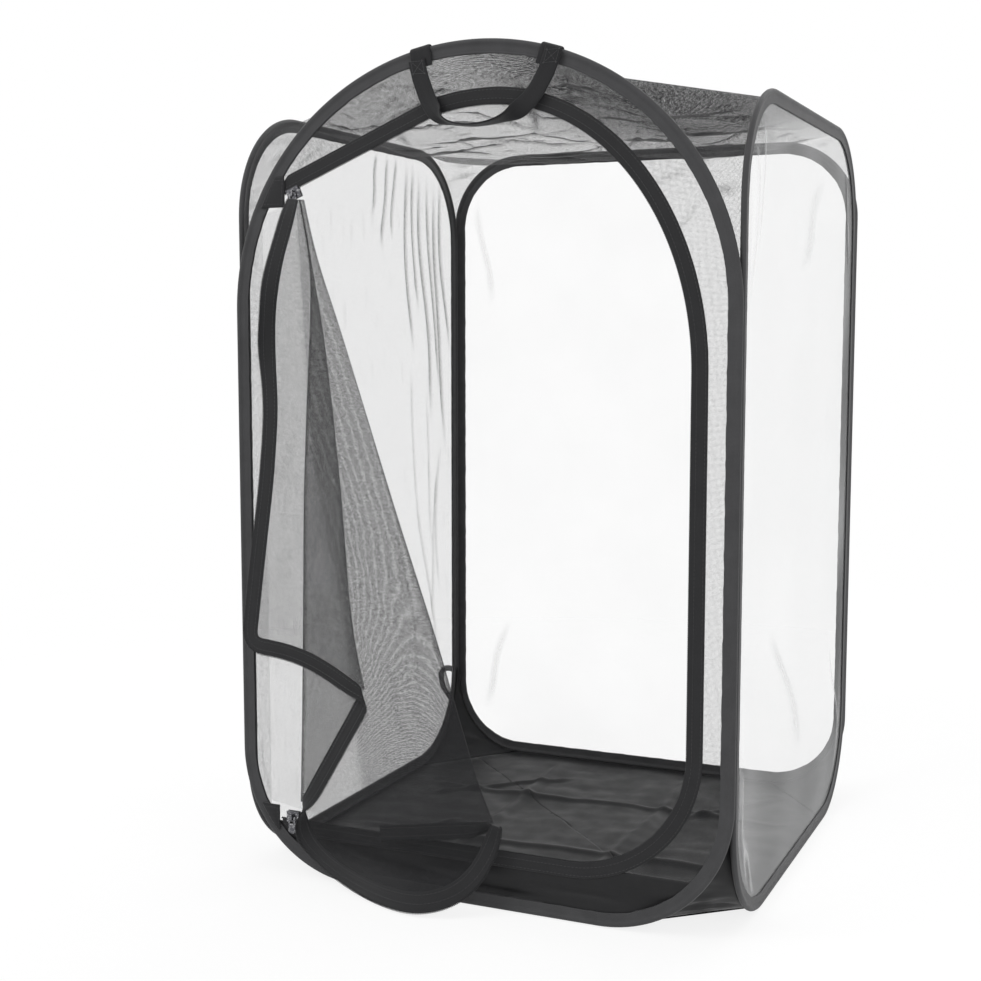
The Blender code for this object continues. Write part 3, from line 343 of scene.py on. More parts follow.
def seam_tree(name, sizes, build_copy):
    """A node tree that repeats a small shape along lines, turned by their own facing."""
    tree = bpy.data.node_groups.new(name, "GeometryNodeTree")
    tree.interface.new_socket("Lines", in_out="INPUT", socket_type="NodeSocketGeometry")
    for label in sizes:
        tree.interface.new_socket(label, in_out="INPUT", socket_type="NodeSocketFloat")
    tree.interface.new_socket("Finish", in_out="INPUT", socket_type="NodeSocketMaterial")
    tree.interface.new_socket("Copies", in_out="OUTPUT", socket_type="NodeSocketGeometry")
    given = put(tree, "NodeGroupInput", {})
    curve = put(tree, "GeometryNodeMeshToCurve", {0: given.outputs["Lines"]})
    steps = put(tree, "GeometryNodeCurveToPoints",
                {"Curve": curve.outputs[0], "Length": given.outputs["Step"]}, mode="LENGTH")
    facing = put(tree, "GeometryNodeInputNamedAttribute", {"Name": "facing"}, data_type="FLOAT_VECTOR")
    turn = put(tree, "FunctionNodeAxesToRotation",
               {0: steps.outputs["Tangent"], 1: facing.outputs[0]}, primary_axis="Z", secondary_axis="X")
    copies = put(tree, "GeometryNodeInstanceOnPoints",
                 {"Points": steps.outputs["Points"], "Instance": build_copy(tree, given),
                  "Rotation": turn.outputs[0]})
    plain = put(tree, "GeometryNodeRealizeInstances", {0: copies.outputs[0]})
    dressed = put(tree, "GeometryNodeSetMaterial",
                  {"Geometry": plain.outputs[0], "Material": given.outputs["Finish"]})
    put(tree, "NodeGroupOutput", {0: dressed.outputs[0]})
    return tree


def stitch_copy(tree, given):
    """One stitch: a ball drawn out along the seam and flattened on to the cloth."""
    ball = put(tree, "GeometryNodeMeshUVSphere", {"Segments": 6, "Rings": 4, "Radius": 1.0})
    half_length = sum_of(tree, "MULTIPLY", given.outputs["Length"], 0.5)
    half_width = sum_of(tree, "MULTIPLY", given.outputs["Thread"], 0.5)
    flat = sum_of(tree, "MULTIPLY", given.outputs["Thread"], 0.36)
    size = put(tree, "ShaderNodeCombineXYZ", {0: flat, 1: half_width, 2: half_length})
    scaled = put(tree, "GeometryNodeTransform", {"Geometry": ball.outputs[0], "Scale": size.outputs[0]})
    return scaled.outputs[0]


def along_seams(name, lines, tree, sizes, finish):
    """One mesh of copies along lines; each line is its places, the way it faces, and if it closes."""
    places, facing, edges = [], [], []
    for line, way, closed in lines:
        first = len(places)
        places += [tuple(point) for point in line]
        facing += np.broadcast_to(way, (len(line), 3)).tolist()
        edges += [(first + k, first + k + 1) for k in range(len(line) - 1)]
        if closed:
            edges.append((len(places) - 1, first))
    mesh = bpy.data.meshes.new(name)
    mesh.from_pydata(places, edges, [])
    mesh.attributes.new("facing", "FLOAT_VECTOR", "POINT").data.foreach_set("vector", np.ravel(facing))
    piece = bpy.data.objects.new(name, mesh)
    bpy.context.scene.collection.objects.link(piece)
    modifier = piece.modifiers.new(tree.name, "NODES")
    modifier.node_group = tree
    for item in tree.interface.items_tree:
        if item.in_out == "INPUT" and item.name in sizes:
            modifier[item.identifier] = sizes[item.name]
        if item.in_out == "INPUT" and item.name == "Finish":
            modifier[item.identifier] = finish
    graph = bpy.context.evaluated_depsgraph_get()
    made = bpy.data.meshes.new_from_object(piece.evaluated_get(graph))
    piece.modifiers.clear()
    piece.data = made
    made.name = name
    made.shade_smooth()
    return piece


def thread_finish():
    finish, tree, shader = new_finish("black_sewing_thread", (0.03, 0.03, 0.032), 0.5)
    where = object_place(tree)
    ply = noise(tree, where, 2600.0, 1.0)
    drive(shader, "Base Color", tint(tree, ply, (0.016, 0.016, 0.017), (0.055, 0.055, 0.058)))
    drive(shader, "Normal", bump(tree, ply, 0.00008))
    return finish


sewing_thread = thread_finish()
stitch_tree = seam_tree("stitches", ("Step", "Length", "Thread"), stitch_copy)
STITCH_SIZES = {"Step": STITCH_STEP, "Length": STITCH_LENGTH, "Thread": THREAD}
FACING = {"front": (0, -1, 0), "back": (0, 1, 0), "left": (-1, 0, 0), "right": (1, 0, 0)}
for panel, seams in binding_seams.items():
    lines = [(seam, FACING[panel], True) for seam in seams]
    stitches = along_seams(panel + "_binding_stitches", lines, stitch_tree, STITCH_SIZES, sewing_thread)
    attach(stitches, panel + "_panel")


# Left panel. A pale, fine net is stretched in the left loop; the threads that run across lie closest.
# It is slackest at its upper back corner, so small pleats fan out from there down the panel.
CLOTH_INSET = 0.0058
EDGE_HOLD = 0.030
RIPPLE_WAVES = 9
# Each fold in a cloth: across and up at its start, across and up at its end, and its width
LEFT_PLEATS = ((0.030, 0.594, 0.018, 0.530, 0.0024), (0.052, 0.594, 0.034, 0.500, 0.0026),
               (0.066, 0.594, 0.056, 0.510, 0.0022), (0.084, 0.593, 0.096, 0.400, 0.0030),
               (0.098, 0.592, 0.112, 0.440, 0.0024), (0.112, 0.590, 0.140, 0.330, 0.0032),
               (0.126, 0.588, 0.158, 0.360, 0.0026), (0.140, 0.584, 0.170, 0.300, 0.0030),
               (0.152, 0.578, 0.178, 0.400, 0.0026))
LEFT_WRINKLES = ((0.160, 0.330, 0.130, 0.130, 0.0030), (0.100, 0.300, 0.150, 0.090, 0.0028),
                 (0.060, 0.260, 0.120, 0.060, 0.0026), (0.125, 0.380, 0.140, 0.210, 0.0022),
                 (0.090, 0.400, 0.104, 0.260, 0.0024), (0.148, 0.300, 0.152, 0.160, 0.0022))
LEFT_BOW = 0.0012
PLEAT_DEPTH = 0.0018
WRINKLE_DEPTH = 0.0012
CRINKLE_DEPTH = 0.0003


def panel_grid(half, radius, columns, middle_rows, corner_rows):
    """Rows of places, across and up, that fill a rounded panel out to its cloth's edge."""
    reach = radius - CLOTH_INSET
    turn = np.linspace(0, math.pi / 2, corner_rows)
    low = radius - reach * np.cos(turn)
    rows = np.concatenate([low, np.linspace(radius, PANEL_HEIGHT - radius, middle_rows + 2)[1:-1],
                           PANEL_HEIGHT - low[::-1]])
    into = np.maximum(np.maximum(radius - rows, rows - PANEL_HEIGHT + radius), 0)
    width = half - radius + np.sqrt(np.maximum(reach * reach - into * into, 0))
    across = np.linspace(-1, 1, columns)[None, :] * width[:, None]
    return across, np.broadcast_to(rows[:, None], across.shape), width[:, None]


def held_edge(across, up, width, near):
    """From 0 at a panel's edge to 1 where the cloth is free, this far inside it."""
    upright = np.minimum(up - CLOTH_INSET, PANEL_HEIGHT - CLOTH_INSET - up)
    return smooth(np.minimum(width - np.abs(across), upright) / near)


def ripple(a, b, size, seed):
    """Soft, uneven waves of about one size in all directions, from about -1 to 1."""
    chance = np.random.default_rng(seed)
    turns = chance.uniform(0, math.pi, RIPPLE_WAVES)
    phases = chance.uniform(0, math.tau, RIPPLE_WAVES)
    total = 0
    for turn, phase, stretch in zip(turns, phases, chance.uniform(0.7, 1.5, RIPPLE_WAVES)):
        over = a * math.cos(turn) + b * math.sin(turn)
        total = total + np.sin(over * math.tau / (size * stretch) + phase)
    return total / math.sqrt(RIPPLE_WAVES)


def crease(a, b, start, end, width, fade=0.25):
    """How strongly a fold from start to end shows at each place, from 0 to 1."""
    run = (end[0] - start[0], end[1] - start[1])
    length = math.hypot(*run)
    along = ((a - start[0]) * run[0] + (b - start[1]) * run[1]) / length ** 2
    off = ((a - start[0]) * run[1] - (b - start[1]) * run[0]) / length
    off = off + 0.7 * width * np.sin(along * 7 + start[0] * 90)
    ends = np.clip(np.minimum(along, 1 - along) / fade, 0, 1)
    return np.exp(-(off / width) ** 2) * ends * ends * (3 - 2 * ends)


def creases(a, b, lines, fade=0.25):
    """A cloth's folds together, each line from its table."""
    return sum(crease(a, b, line[:2], line[2:4], line[4], fade) for line in lines)


def mark_folds(piece, folds):
    """Keep how folded the cloth is at each place, with any painted shade added to it, for the finish."""
    layer = piece.data.attributes.new("folds", "FLOAT", "POINT")
    layer.data.foreach_set("value", np.clip(folds, 0, 1).ravel().astype(np.float32))


def net_finish(name, dark, light, pitch, thread, folded):
    """Knitted net, open between its threads; pitch and thread are pairs, along and over the cloth."""
    finish, tree, shader = new_finish(name, light, 0.6)
    shader.inputs["Specular IOR Level"].default_value = 0.25
    shader.inputs["Sheen Weight"].default_value = 0.1
    cloth = put(tree, "ShaderNodeUVMap", {}, uv_map="cloth").outputs[0]
    uneven = noise(tree, cloth, 260.0, 1.0, "Color")
    place = uneven
    steps = (("SUBTRACT", (0.5, 0.5, 0.5)), ("MULTIPLY", (0.0003, 0.0003, 0)), ("ADD", cloth))
    for operation, other in steps:
        place = put(tree, "ShaderNodeVectorMath", {0: place, 1: other}, operation=operation).outputs[0]
    axes = put(tree, "ShaderNodeSeparateXYZ", {0: place})
    folds = put(tree, "ShaderNodeAttribute", {}, attribute_name="folds").outputs["Fac"]
    knit = noise(tree, cloth, 430.0, 2.0)
    wider = sum_of(tree, "MULTIPLY", spread(tree, folds, 0.0, 1.0, 1.0, folded),
                   spread(tree, knit, 0.3, 0.7, 0.72, 1.28))
    covers = []
    for axis in (0, 1):
        place = sum_of(tree, "DIVIDE", axes.outputs[axis], pitch[axis])
        off = sum_of(tree, "PINGPONG", place, 0.5)
        half = sum_of(tree, "MULTIPLY", wider, thread[axis] / pitch[axis] / 2)
        covers.append(spread(tree, sum_of(tree, "SUBTRACT", off, half), -0.025, 0.025, 1.0, 0.0))
    cover = sum_of(tree, "MAXIMUM", *covers)
    drive(shader, "Alpha", cover)
    round_it = sum_of(tree, "ADD", *covers)
    drive(shader, "Normal", bump(tree, round_it, 0.00012))
    # The threads vary at random in tone, and where the cloth is folded their colour is darkened: painted
    # shade in the folds.
    lint = noise(tree, cloth, 900.0, 2.0)
    lint_and_painted_fold_shade = sum_of(tree, "MULTIPLY", spread(tree, lint, 0.3, 0.7, 0.75, 1.0),
                 spread(tree, folds, 0.0, 1.0, 1.0, 0.0))
    drive(shader, "Base Color", tint(tree, lint_and_painted_fold_shade, dark, light))
    return finish


pale_net = net_finish("pale_fine_net", (0.05, 0.05, 0.052), (0.84, 0.84, 0.85), (0.0011, 0.00075),
                      (0.00011, 0.00014), 3.0)
across, up, width = panel_grid(SIDE_HALF, SIDE_CORNER, 220, 150, 30)
free = held_edge(across, up, width, EDGE_HOLD)
folds = creases(across, up, LEFT_PLEATS)
wrinkles = creases(across, up, LEFT_WRINKLES)
crinkles = np.clip(ripple(across * 3.2, up * 0.7, 0.040, 5) - 0.8, 0, 1)
bow = (LEFT_BOW * ripple(across, up, 0.16, 3) + PLEAT_DEPTH * folds + WRINKLE_DEPTH * wrinkles
       + CRINKLE_DEPTH * crinkles)
left_net = surface("left_net_panel", on_panel("left", across, up, bow * free), np.stack([across, up], -1),
                   pale_net, flip=True)
# Along its pleats and wrinkles the pale net is drawn denser, and its threads are darkened there as painted
# shade.
mark_folds(left_net, (1.0 * folds + 0.45 * wrinkles + 0.16 * crinkles) * np.minimum(free * 3, 1))
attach(left_net, "left_panel")
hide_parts("left_mesh_panel")


# Right and back windows. Clear, soft vinyl film is sewn into these two loops. It bows a little and has
# creases that fan from its corners; along them it turns hazy white, partly real fold haze and partly a
# painted highlight, and it turns whiter towards grazing angles as a painted reflection.
RIGHT_CREASES = ((-0.176, 0.570, -0.184, 0.430, 0.0034), (-0.162, 0.580, -0.172, 0.440, 0.0026),
                 (-0.148, 0.588, -0.158, 0.480, 0.0028), (-0.178, 0.070, -0.186, 0.200, 0.0030),
                 (-0.156, 0.028, -0.180, 0.130, 0.0034), (0.150, 0.570, 0.176, 0.470, 0.0028),
                 (-0.130, 0.014, -0.166, 0.070, 0.0034), (0.166, 0.060, 0.140, 0.150, 0.0030))
BACK_CREASES = ((-0.176, 0.560, -0.160, 0.450, 0.0030), (0.168, 0.570, 0.150, 0.480, 0.0030),
                (-0.170, 0.040, -0.140, 0.140, 0.0030), (0.160, 0.034, 0.130, 0.150, 0.0034))
FILM_BOW = 0.0016
FILM_CREASE_DEPTH = 0.0012


def film_finish():
    finish, tree, shader = new_finish("clear_vinyl_film", (0.93, 0.94, 0.95), 0.10)
    cloth = put(tree, "ShaderNodeUVMap", {}, uv_map="cloth").outputs[0]
    haze = noise(tree, cloth, 9.0, 5.0)
    scratch = noise(tree, cloth, 170.0, 2.0)
    folds = put(tree, "ShaderNodeAttribute", {}, attribute_name="folds").outputs["Fac"]
    # Along the folds and towards grazing angles the white film grows more opaque: partly fold haze, partly a
    # painted highlight on the creases and a painted reflection at the rim.
    rim = put(tree, "ShaderNodeFresnel", {"IOR": 1.45}).outputs[0]
    seen = sum_of(tree, "ADD", spread(tree, haze, 0.35, 0.7, 0.03, 0.08),
                  sum_of(tree, "MULTIPLY", folds, 0.22))
    seen = sum_of(tree, "ADD", seen, sum_of(tree, "MULTIPLY", rim, 0.8))
    drive(shader, "Alpha", seen)
    drive(shader, "Base Color", tint(tree, haze, (0.90, 0.91, 0.92), (0.97, 0.98, 0.98)))
    drive(shader, "Roughness", spread(tree, scratch, 0.4, 0.7, 0.07, 0.17))
    drive(shader, "Normal", bump(tree, scratch, 0.00005))
    return finish


film = film_finish()
for panel, half, radius, lines, seed in (("right", SIDE_HALF, SIDE_CORNER, RIGHT_CREASES, 21),
                                         ("back", HALF_WIDTH, BACK_CORNER, BACK_CREASES, 22)):
    across, up, width = panel_grid(half, radius, 210, 130, 26)
    free = held_edge(across, up, width, EDGE_HOLD)
    folds = creases(across, up, lines)
    bow = (FILM_BOW * ripple(across, up, 0.19, seed) + FILM_CREASE_DEPTH * folds) * free
    window = surface(panel + "_film_window", on_panel(panel, across, up, bow), np.stack([across, up], -1),
                     film, flip=panel == "back")
    mark_folds(window, folds * np.minimum(free * 3, 1))
    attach(window, panel + "_panel")
    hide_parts(panel + "_clear_window")


# Front net. Black net fills the front loop from its binding to the zipper round the door, in one
# strip that runs up the right side, over the arch and down beside the door's hinge seam.
DOOR_SILL = 0.043
HINGE_X = -0.176
DOOR_RIGHT = 0.167
DOOR_TOP = 0.591
DOOR_CROWN = 0.014
ZIP_TOP = (-0.158, 0.533)
ZIP_KNEE = (-0.016, 0.591)
SILL_START = (-0.165, 0.043)
DOOR_FOOT = 0.090
DOOR_RISE = 0.191
ZIP_STRAIGHT = 0.86
SEW_GAP = 0.0003
HINGE_SPAN = (0.056, 0.515)
BORDER_MIDDLE = (0.0, 0.3)
BORDER_TURNS = (-73.0, 235.5)
BORDER_HOLD = 0.012
BORDER_SLACK = 0.0009
BORDER_FOLDS = ((-0.100, 0.560, -0.050, 0.606, 0.0018), (-0.070, 0.570, -0.012, 0.612, 0.0014),
                (0.020, 0.600, 0.062, 0.622, 0.0016), (0.120, 0.520, 0.162, 0.540, 0.0018),
                (0.140, 0.480, 0.170, 0.520, 0.0016), (-0.150, 0.545, -0.120, 0.570, 0.0016),
                (0.070, 0.585, 0.120, 0.592, 0.0018), (-0.186, 0.110, -0.178, 0.060, 0.0014),
                (0.150, 0.110, 0.178, 0.150, 0.0016), (0.100, 0.060, 0.160, 0.080, 0.0016))


def zip_line():
    """The zipper's line round the door: over the top from its upper end, down and back along the sill."""
    top, knee, crown = np.array(ZIP_TOP), np.array(ZIP_KNEE), np.array((DOOR_CROWN, DOOR_TOP))
    bend = top + (knee - top) * ZIP_STRAIGHT
    straight = top + (bend - top) * np.linspace(0, 1, 60)[:, None]
    t = np.linspace(0, 1, 20)[1:, None]
    turned = bend * (1 - t) ** 2 + 2 * knee * t * (1 - t) + crown * t ** 2
    over = arc((DOOR_CROWN, DOOR_TOP - DOOR_RISE), (DOOR_RIGHT - DOOR_CROWN, DOOR_RISE), 90, 0, 90)[0][1:]
    foot = arc((DOOR_RIGHT - DOOR_FOOT, DOOR_SILL + DOOR_FOOT), (DOOR_FOOT, DOOR_FOOT), 0, -90, 40)[0]
    return np.vstack([straight, turned, over, foot, [SILL_START]])


def even_line(points, step):
    """Even steps along an open line: its places, and the run at each."""
    run = run_along(points)
    steps = np.linspace(0, run[-1], max(2, round(run[-1] / step)) + 1)
    return np.stack([np.interp(steps, run, points[:, k]) for k in range(points.shape[1])], -1), steps


def reach_of(outline, centre, turn):
    """How far a ray from a centre runs before it leaves a closed outline."""
    here = outline - centre
    after = np.roll(here, -1, axis=0)
    ray = np.array((math.cos(turn), math.sin(turn)))
    side, side_after = here @ (-ray[1], ray[0]), after @ (-ray[1], ray[0])
    share = side / np.where(side == side_after, 1, side - side_after)
    ahead = (here + (after - here) * share[:, None]) @ ray
    return ahead[(side * side_after <= 0) & (side != side_after) & (ahead > 0)].min()


black_net = net_finish("black_net", (0.018, 0.018, 0.020), (0.034, 0.034, 0.036), (0.0008, 0.0008),
                       (0.00012, 0.00012), 2.2)
door_line = zip_line()
opening = np.vstack([door_line[door_line[:, 1] > DOOR_SILL + 2 * SEW_GAP],
                     [(0.078, DOOR_SILL + SEW_GAP), (-0.1755, DOOR_SILL + SEW_GAP), (HINGE_X, HINGE_SPAN[0]),
                      (HINGE_X, HINGE_SPAN[1])]])
edge_points, edge_inward = front_outline()
border_edge = edge_points + edge_inward * CLOTH_INSET
border_edge[:, 1] = np.maximum(border_edge[:, 1], DOOR_SILL + SEW_GAP)
middle = np.array(BORDER_MIDDLE)
turns = np.radians(np.linspace(*BORDER_TURNS, 720))
near = np.array([reach_of(opening, middle, turn) for turn in turns])
far = np.array([reach_of(border_edge, middle, turn) for turn in turns])
far = np.maximum(far, near + SEW_GAP)
share = np.linspace(0, 1, 20)[None, :]
reach = near[:, None] + (far - near)[:, None] * share
across = middle[0] + reach * np.cos(turns)[:, None]
up = middle[1] + reach * np.sin(turns)[:, None]
free = smooth(np.minimum(share, 1 - share) * (far - near)[:, None] / BORDER_HOLD)
folds = creases(across, up, BORDER_FOLDS)
slack = BORDER_SLACK * ripple(across, up, 0.045, 31) * free - BORDER_SLACK * folds * free
front_net = surface("front_net_border", on_panel("front", across, up, np.minimum(slack, 0.0002)),
                    np.stack([across, up], -1), black_net, flip=True)
mark_folds(front_net, 0.5 * folds + 0.55 * smooth((up - 0.50) / 0.10))
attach(front_net, "front_panel")
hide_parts("front_mesh_border")


# Lower band. Below the sill the front loop is closed by a strip of black, coated polyester, the same
# cloth as the floor. Its lower edge is sewn into the binding and its upper edge to the zipper's tape.
POLYESTER = 0.0006
BAND_HOLD = 0.008
BAND_HEM = 0.010
BAND_FOLD_DEPTH = 0.0016
BAND_SAG = 0.0010
BAND_FOLDS = ((-0.070, 0.020, 0.060, 0.012, 0.0030), (0.030, 0.026, 0.130, 0.018, 0.0026),
              (-0.140, 0.028, -0.060, 0.016, 0.0026))


def thicken(piece, thickness):
    """Give a sheet its cloth's thickness, half on each side."""
    wall = piece.modifiers.new("cloth thickness", "SOLIDIFY")
    wall.thickness = thickness
    wall.offset = 0


polyester = woven_finish("black_coated_polyester", (0.011, 0.011, 0.012), (0.024, 0.024, 0.025), 0.5,
                         0.0006, 0.00005, "plain", sheen=0.03)
polyester.node_tree.nodes["Principled BSDF"].inputs["Specular IOR Level"].default_value = 0.22
foot_reach = FRONT_FOOT - CLOTH_INSET
rows = FRONT_FOOT - foot_reach * np.cos(np.linspace(0, 0.93, 26))
rows = rows[rows < DOOR_SILL - 0.0004]
rows = np.append(rows, DOOR_SILL - 0.0002)
width = np.sqrt(np.maximum(foot_reach ** 2 - (FRONT_FOOT - rows) ** 2, 0))[:, None]
width = HALF_WIDTH - FRONT_FOOT + width
across = np.linspace(-1, 1, 150)[None, :] * width
up = np.broadcast_to(rows[:, None], across.shape)
upright = np.minimum(up - CLOTH_INSET, DOOR_SILL - BAND_HEM - up)
free = np.clip(np.minimum(width - np.abs(across), upright) / BAND_HOLD, 0, 1)
folds = creases(across, up, BAND_FOLDS)
sag = -BAND_FOLD_DEPTH * folds - BAND_SAG * (1 + ripple(across * 0.4, up, 0.030, 41))
band = surface("lower_band", on_panel("front", across, up, sag * free), np.stack([across, up], -1),
               polyester)
thicken(band, POLYESTER)
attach(band, "front_panel")
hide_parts("front_lower_band")


# Floor. One square of the coated polyester, laid flat on the ground, its four corners cut off where
# the corner pieces are sewn on. It keeps the square creases of the way it was folded and packed.
FLOOR_EDGE = 0.1953
SIDE_STRAIGHT = SIDE_HALF - SIDE_CORNER
FLOOR_TUCK = 0.0014
FLOOR_UNDER = 0.0060
FLOOR_HOLD = 0.025
FLOOR_FOLD_DEPTH = 0.0026
FLOOR_FOLDS = ((-0.180, -0.066, 0.180, -0.060, 0.0050), (-0.180, 0.064, 0.180, 0.069, 0.0045),
               (-0.063, -0.180, -0.068, 0.180, 0.0045), (0.066, -0.180, 0.060, 0.180, 0.0050),
               (-0.160, -0.150, -0.090, -0.020, 0.0040), (0.050, -0.140, 0.170, -0.080, 0.0036),
               (-0.150, 0.030, -0.040, 0.130, 0.0034), (0.080, 0.040, 0.160, 0.150, 0.0036))


def plan_grid(front_half, back_half, edge, end_rows, middle_rows, columns, under=0):
    """Rows of places over the cage's plan: its corners cut off, less this much under the corner cloth."""
    y = np.concatenate([np.linspace(-edge, -SIDE_STRAIGHT, end_rows)[:-1],
                        np.linspace(-SIDE_STRAIGHT, SIDE_STRAIGHT, middle_rows),
                        np.linspace(SIDE_STRAIGHT, edge, end_rows)[1:]])
    half = np.interp(y, (-edge, -SIDE_STRAIGHT - under, SIDE_STRAIGHT + under, edge),
                     (front_half + under, edge, edge, back_half + under))
    share = np.broadcast_to(np.linspace(-1, 1, columns)[None, :], (len(y), columns))
    return share * half[:, None], np.broadcast_to(y[:, None], share.shape), half[:, None]


def cut_on_diagonal(piece, names):
    """Two pieces from one, cut from its front right corner to its back left one."""
    halves = []
    for name, side in zip(names, (1, -1)):
        shape = bmesh.new()
        shape.from_mesh(piece.data)
        everything = shape.verts[:] + shape.edges[:] + shape.faces[:]
        bmesh.ops.bisect_plane(shape, geom=everything, dist=1e-7, plane_co=(0, 0, 0),
                               plane_no=(side, side, 0), clear_outer=True)
        mesh = bpy.data.meshes.new(name)
        shape.to_mesh(mesh)
        shape.free()
        mesh.materials.append(piece.data.materials[0])
        half = bpy.data.objects.new(name, mesh)
        bpy.context.scene.collection.objects.link(half)
        halves.append(half)
    bpy.data.objects.remove(piece)
    return halves


def fold_away(front_half, back_half):
    """Give the two halves of a cloth their own mesh data."""
    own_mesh(front_half)
    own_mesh(back_half)


x, y, half = plan_grid(HALF_WIDTH - FRONT_FOOT, HALF_WIDTH - BACK_CORNER, FLOOR_EDGE + FLOOR_TUCK,
                       24, 90, 160, under=FLOOR_UNDER)
free = smooth(np.minimum(half - np.abs(x), FLOOR_EDGE - np.abs(y)) / FLOOR_HOLD)
folds = creases(x, y, FLOOR_FOLDS, 0.12)
lift = (FLOOR_FOLD_DEPTH * folds + 0.0010 * (1 + ripple(x, y, 0.09, 51))
        + 0.0003 * (1 + ripple(x, y, 0.028, 52)))
floor_cloth = surface("floor_cloth", np.stack([x, y, POLYESTER / 2 + lift * free], -1),
                      np.stack([x, y], -1), polyester)
floor_halves = cut_on_diagonal(floor_cloth, ("floor_cloth_front_left", "floor_cloth_back_right"))
for piece, near in zip(floor_halves, ("front", "right")):
    thicken(piece, POLYESTER)
    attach(piece, near + "_panel")
    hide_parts("floor_sheet")
fold_away(*floor_halves)


# Roof. A square of black net, level at the back and drawn up to the arch in front. It is cut large
# and hangs slack in soft folds, so it is crossed by wrinkles and looks darker than the net below it.
ROOF_EDGE = 0.1957
ROOF_LEVEL = 0.594
ROOF_SAG = 0.0035
ROOF_FOLD_DEPTH = 0.0045
ROOF_FOLD_SPACING = 0.104
ROOF_FOLD_FADE = 0.045
# Each run of folds: its direction in degrees, its share of the spacing, its start as a share of a fold
ROOF_FOLD_RUNS = ((62, 1.00, 0.10), (118, 0.86, 0.45), (12, 1.30, 0.70))
ROOF_FRONT_ANGLE = math.pi / 3
SEAM_INSET = 0.006
ROOF_CREASES = 46
ROOF_CREASE_DEPTH = 0.0024
ROOF_CRUMPLE_DEPTH = 0.0010


def arch_at(angle):
    """Places on the front arch at an angle, each with its inward normal."""
    points = np.stack([HALF_WIDTH * np.cos(angle), FRONT_SPRINGING + FRONT_RISE * np.sin(angle)], -1)
    inward = -np.stack([np.cos(angle) * FRONT_RISE, np.sin(angle) * HALF_WIDTH], -1)
    return points, unit(inward)


roof_net = net_finish("black_roof_net", (0.016, 0.016, 0.018), (0.034, 0.034, 0.036), (0.0008, 0.0008),
                      (0.00024, 0.00024), 2.3)
end_point, end_inward = arch_at(np.array(ROOF_FRONT_ANGLE))
seam_end = end_point + end_inward * SEAM_INSET
x, y, half = plan_grid(seam_end[0], HALF_WIDTH - BACK_CORNER, ROOF_EDGE, 46, 150, 250)
under_arch = np.clip(x, -seam_end[0], seam_end[0])
points, inward = arch_at(np.arccos(under_arch / (HALF_WIDTH - SEAM_INSET)))
rise = (ROOF_EDGE - y) / (2 * ROOF_EDGE)
crown = (points[..., 1] + inward[..., 1] * SEAM_INSET - seam_end[1]) * rise ** 2
corner_rise = np.clip((-SIDE_STRAIGHT - y) / (ROOF_EDGE - SIDE_STRAIGHT), 0, 1)
to_edge = np.minimum(half - np.abs(x), ROOF_EDGE - np.abs(y))
waves = 0
for way, spacing, begin in ROOF_FOLD_RUNS:
    over = x * math.cos(math.radians(way)) + y * math.sin(math.radians(way))
    waves = waves + np.cos(math.tau * (over / (ROOF_FOLD_SPACING * spacing) + begin))
depth = ROOF_SAG + ROOF_FOLD_DEPTH * (1 - waves / len(ROOF_FOLD_RUNS))
hang = depth * smooth(to_edge / ROOF_FOLD_FADE)
z = ROOF_LEVEL + (seam_end[1] - ROOF_LEVEL) * corner_rise + crown - hang
free = smooth(to_edge / EDGE_HOLD)
chance = np.random.default_rng(61)
folds = 0
for _ in range(ROOF_CREASES):
    middle = np.array((chance.uniform(-0.15, 0.15), chance.uniform(-0.16, 0.15)))
    lean = math.radians(chance.uniform(-38, 38) + (90 if chance.random() < 0.35 else 0))
    half_run = np.array((math.cos(lean), math.sin(lean))) * chance.uniform(0.03, 0.09)
    strength = chance.uniform(0.4, 1.0)
    width = chance.uniform(0.0017, 0.0034)
    folds = folds + strength * crease(x, y, middle - half_run, middle + half_run, width, 0.4)
crumple = np.clip(ripple(x * 0.8, y * 2.2, 0.026, 61) - 0.9, 0, 1)
slack = ROOF_CREASE_DEPTH * folds + ROOF_CRUMPLE_DEPTH * crumple + 0.0006 * ripple(x, y, 0.035, 62)
# The net is drawn denser and darker towards the front right
darker_front_right = np.clip((x + 0.03) / 0.10, 0, 1) * np.clip((0.08 - y) / 0.12, 0, 1)
roof = surface("roof_net", np.stack([x, y, z + slack * free], -1), np.stack([x, y], -1), roof_net)
mark_folds(roof, (0.75 * folds + 0.4 * crumple) * np.minimum(free * 3, 1) + 0.85 * darker_front_right)
roof_halves = cut_on_diagonal(roof, ("roof_net_front_left", "roof_net_back_right"))
for piece, near in zip(roof_halves, ("front", "right")):
    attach(piece, near + "_panel")
    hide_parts("roof_mesh")
fold_away(*roof_halves)


# Corner pieces. Where two loops' rounded corners part, a small gore joins them: coated polyester at
# the floor, black net at the roof, and two tall net gores from the arch down to its springings.
GORE_ROWS = 34
GORE_COLUMNS = 14
ROOF_SEAM = 0.001
FLOOR_GORE_OUT = 0.0025
ROOF_GORE_OUT = 0.0021
FLOOR_SEAM_INSET = 0.0016
GORE_BELLY = 0.05
GORE_WAVES = 0.022


def corner_line(panel, half, radius, side, top):
    """The inner side of a loop's rounded corner, from the roof's or floor's edge to the upright."""
    level = SEAM_INSET if top else FLOOR_SEAM_INSET
    start = ROOF_SEAM / radius
    turn = start + (math.pi / 2 - start) * np.linspace(0, 1, GORE_ROWS)
    reach = radius - level - (SEAM_INSET - level) * np.sin(turn)
    across = side * (half - radius + reach * np.sin(turn))
    centre = PANEL_HEIGHT - radius if top else radius
    up = centre + (1 if top else -1) * reach * np.cos(turn)
    return on_panel(panel, across, up, -(ROOF_GORE_OUT if top else FLOOR_GORE_OUT))


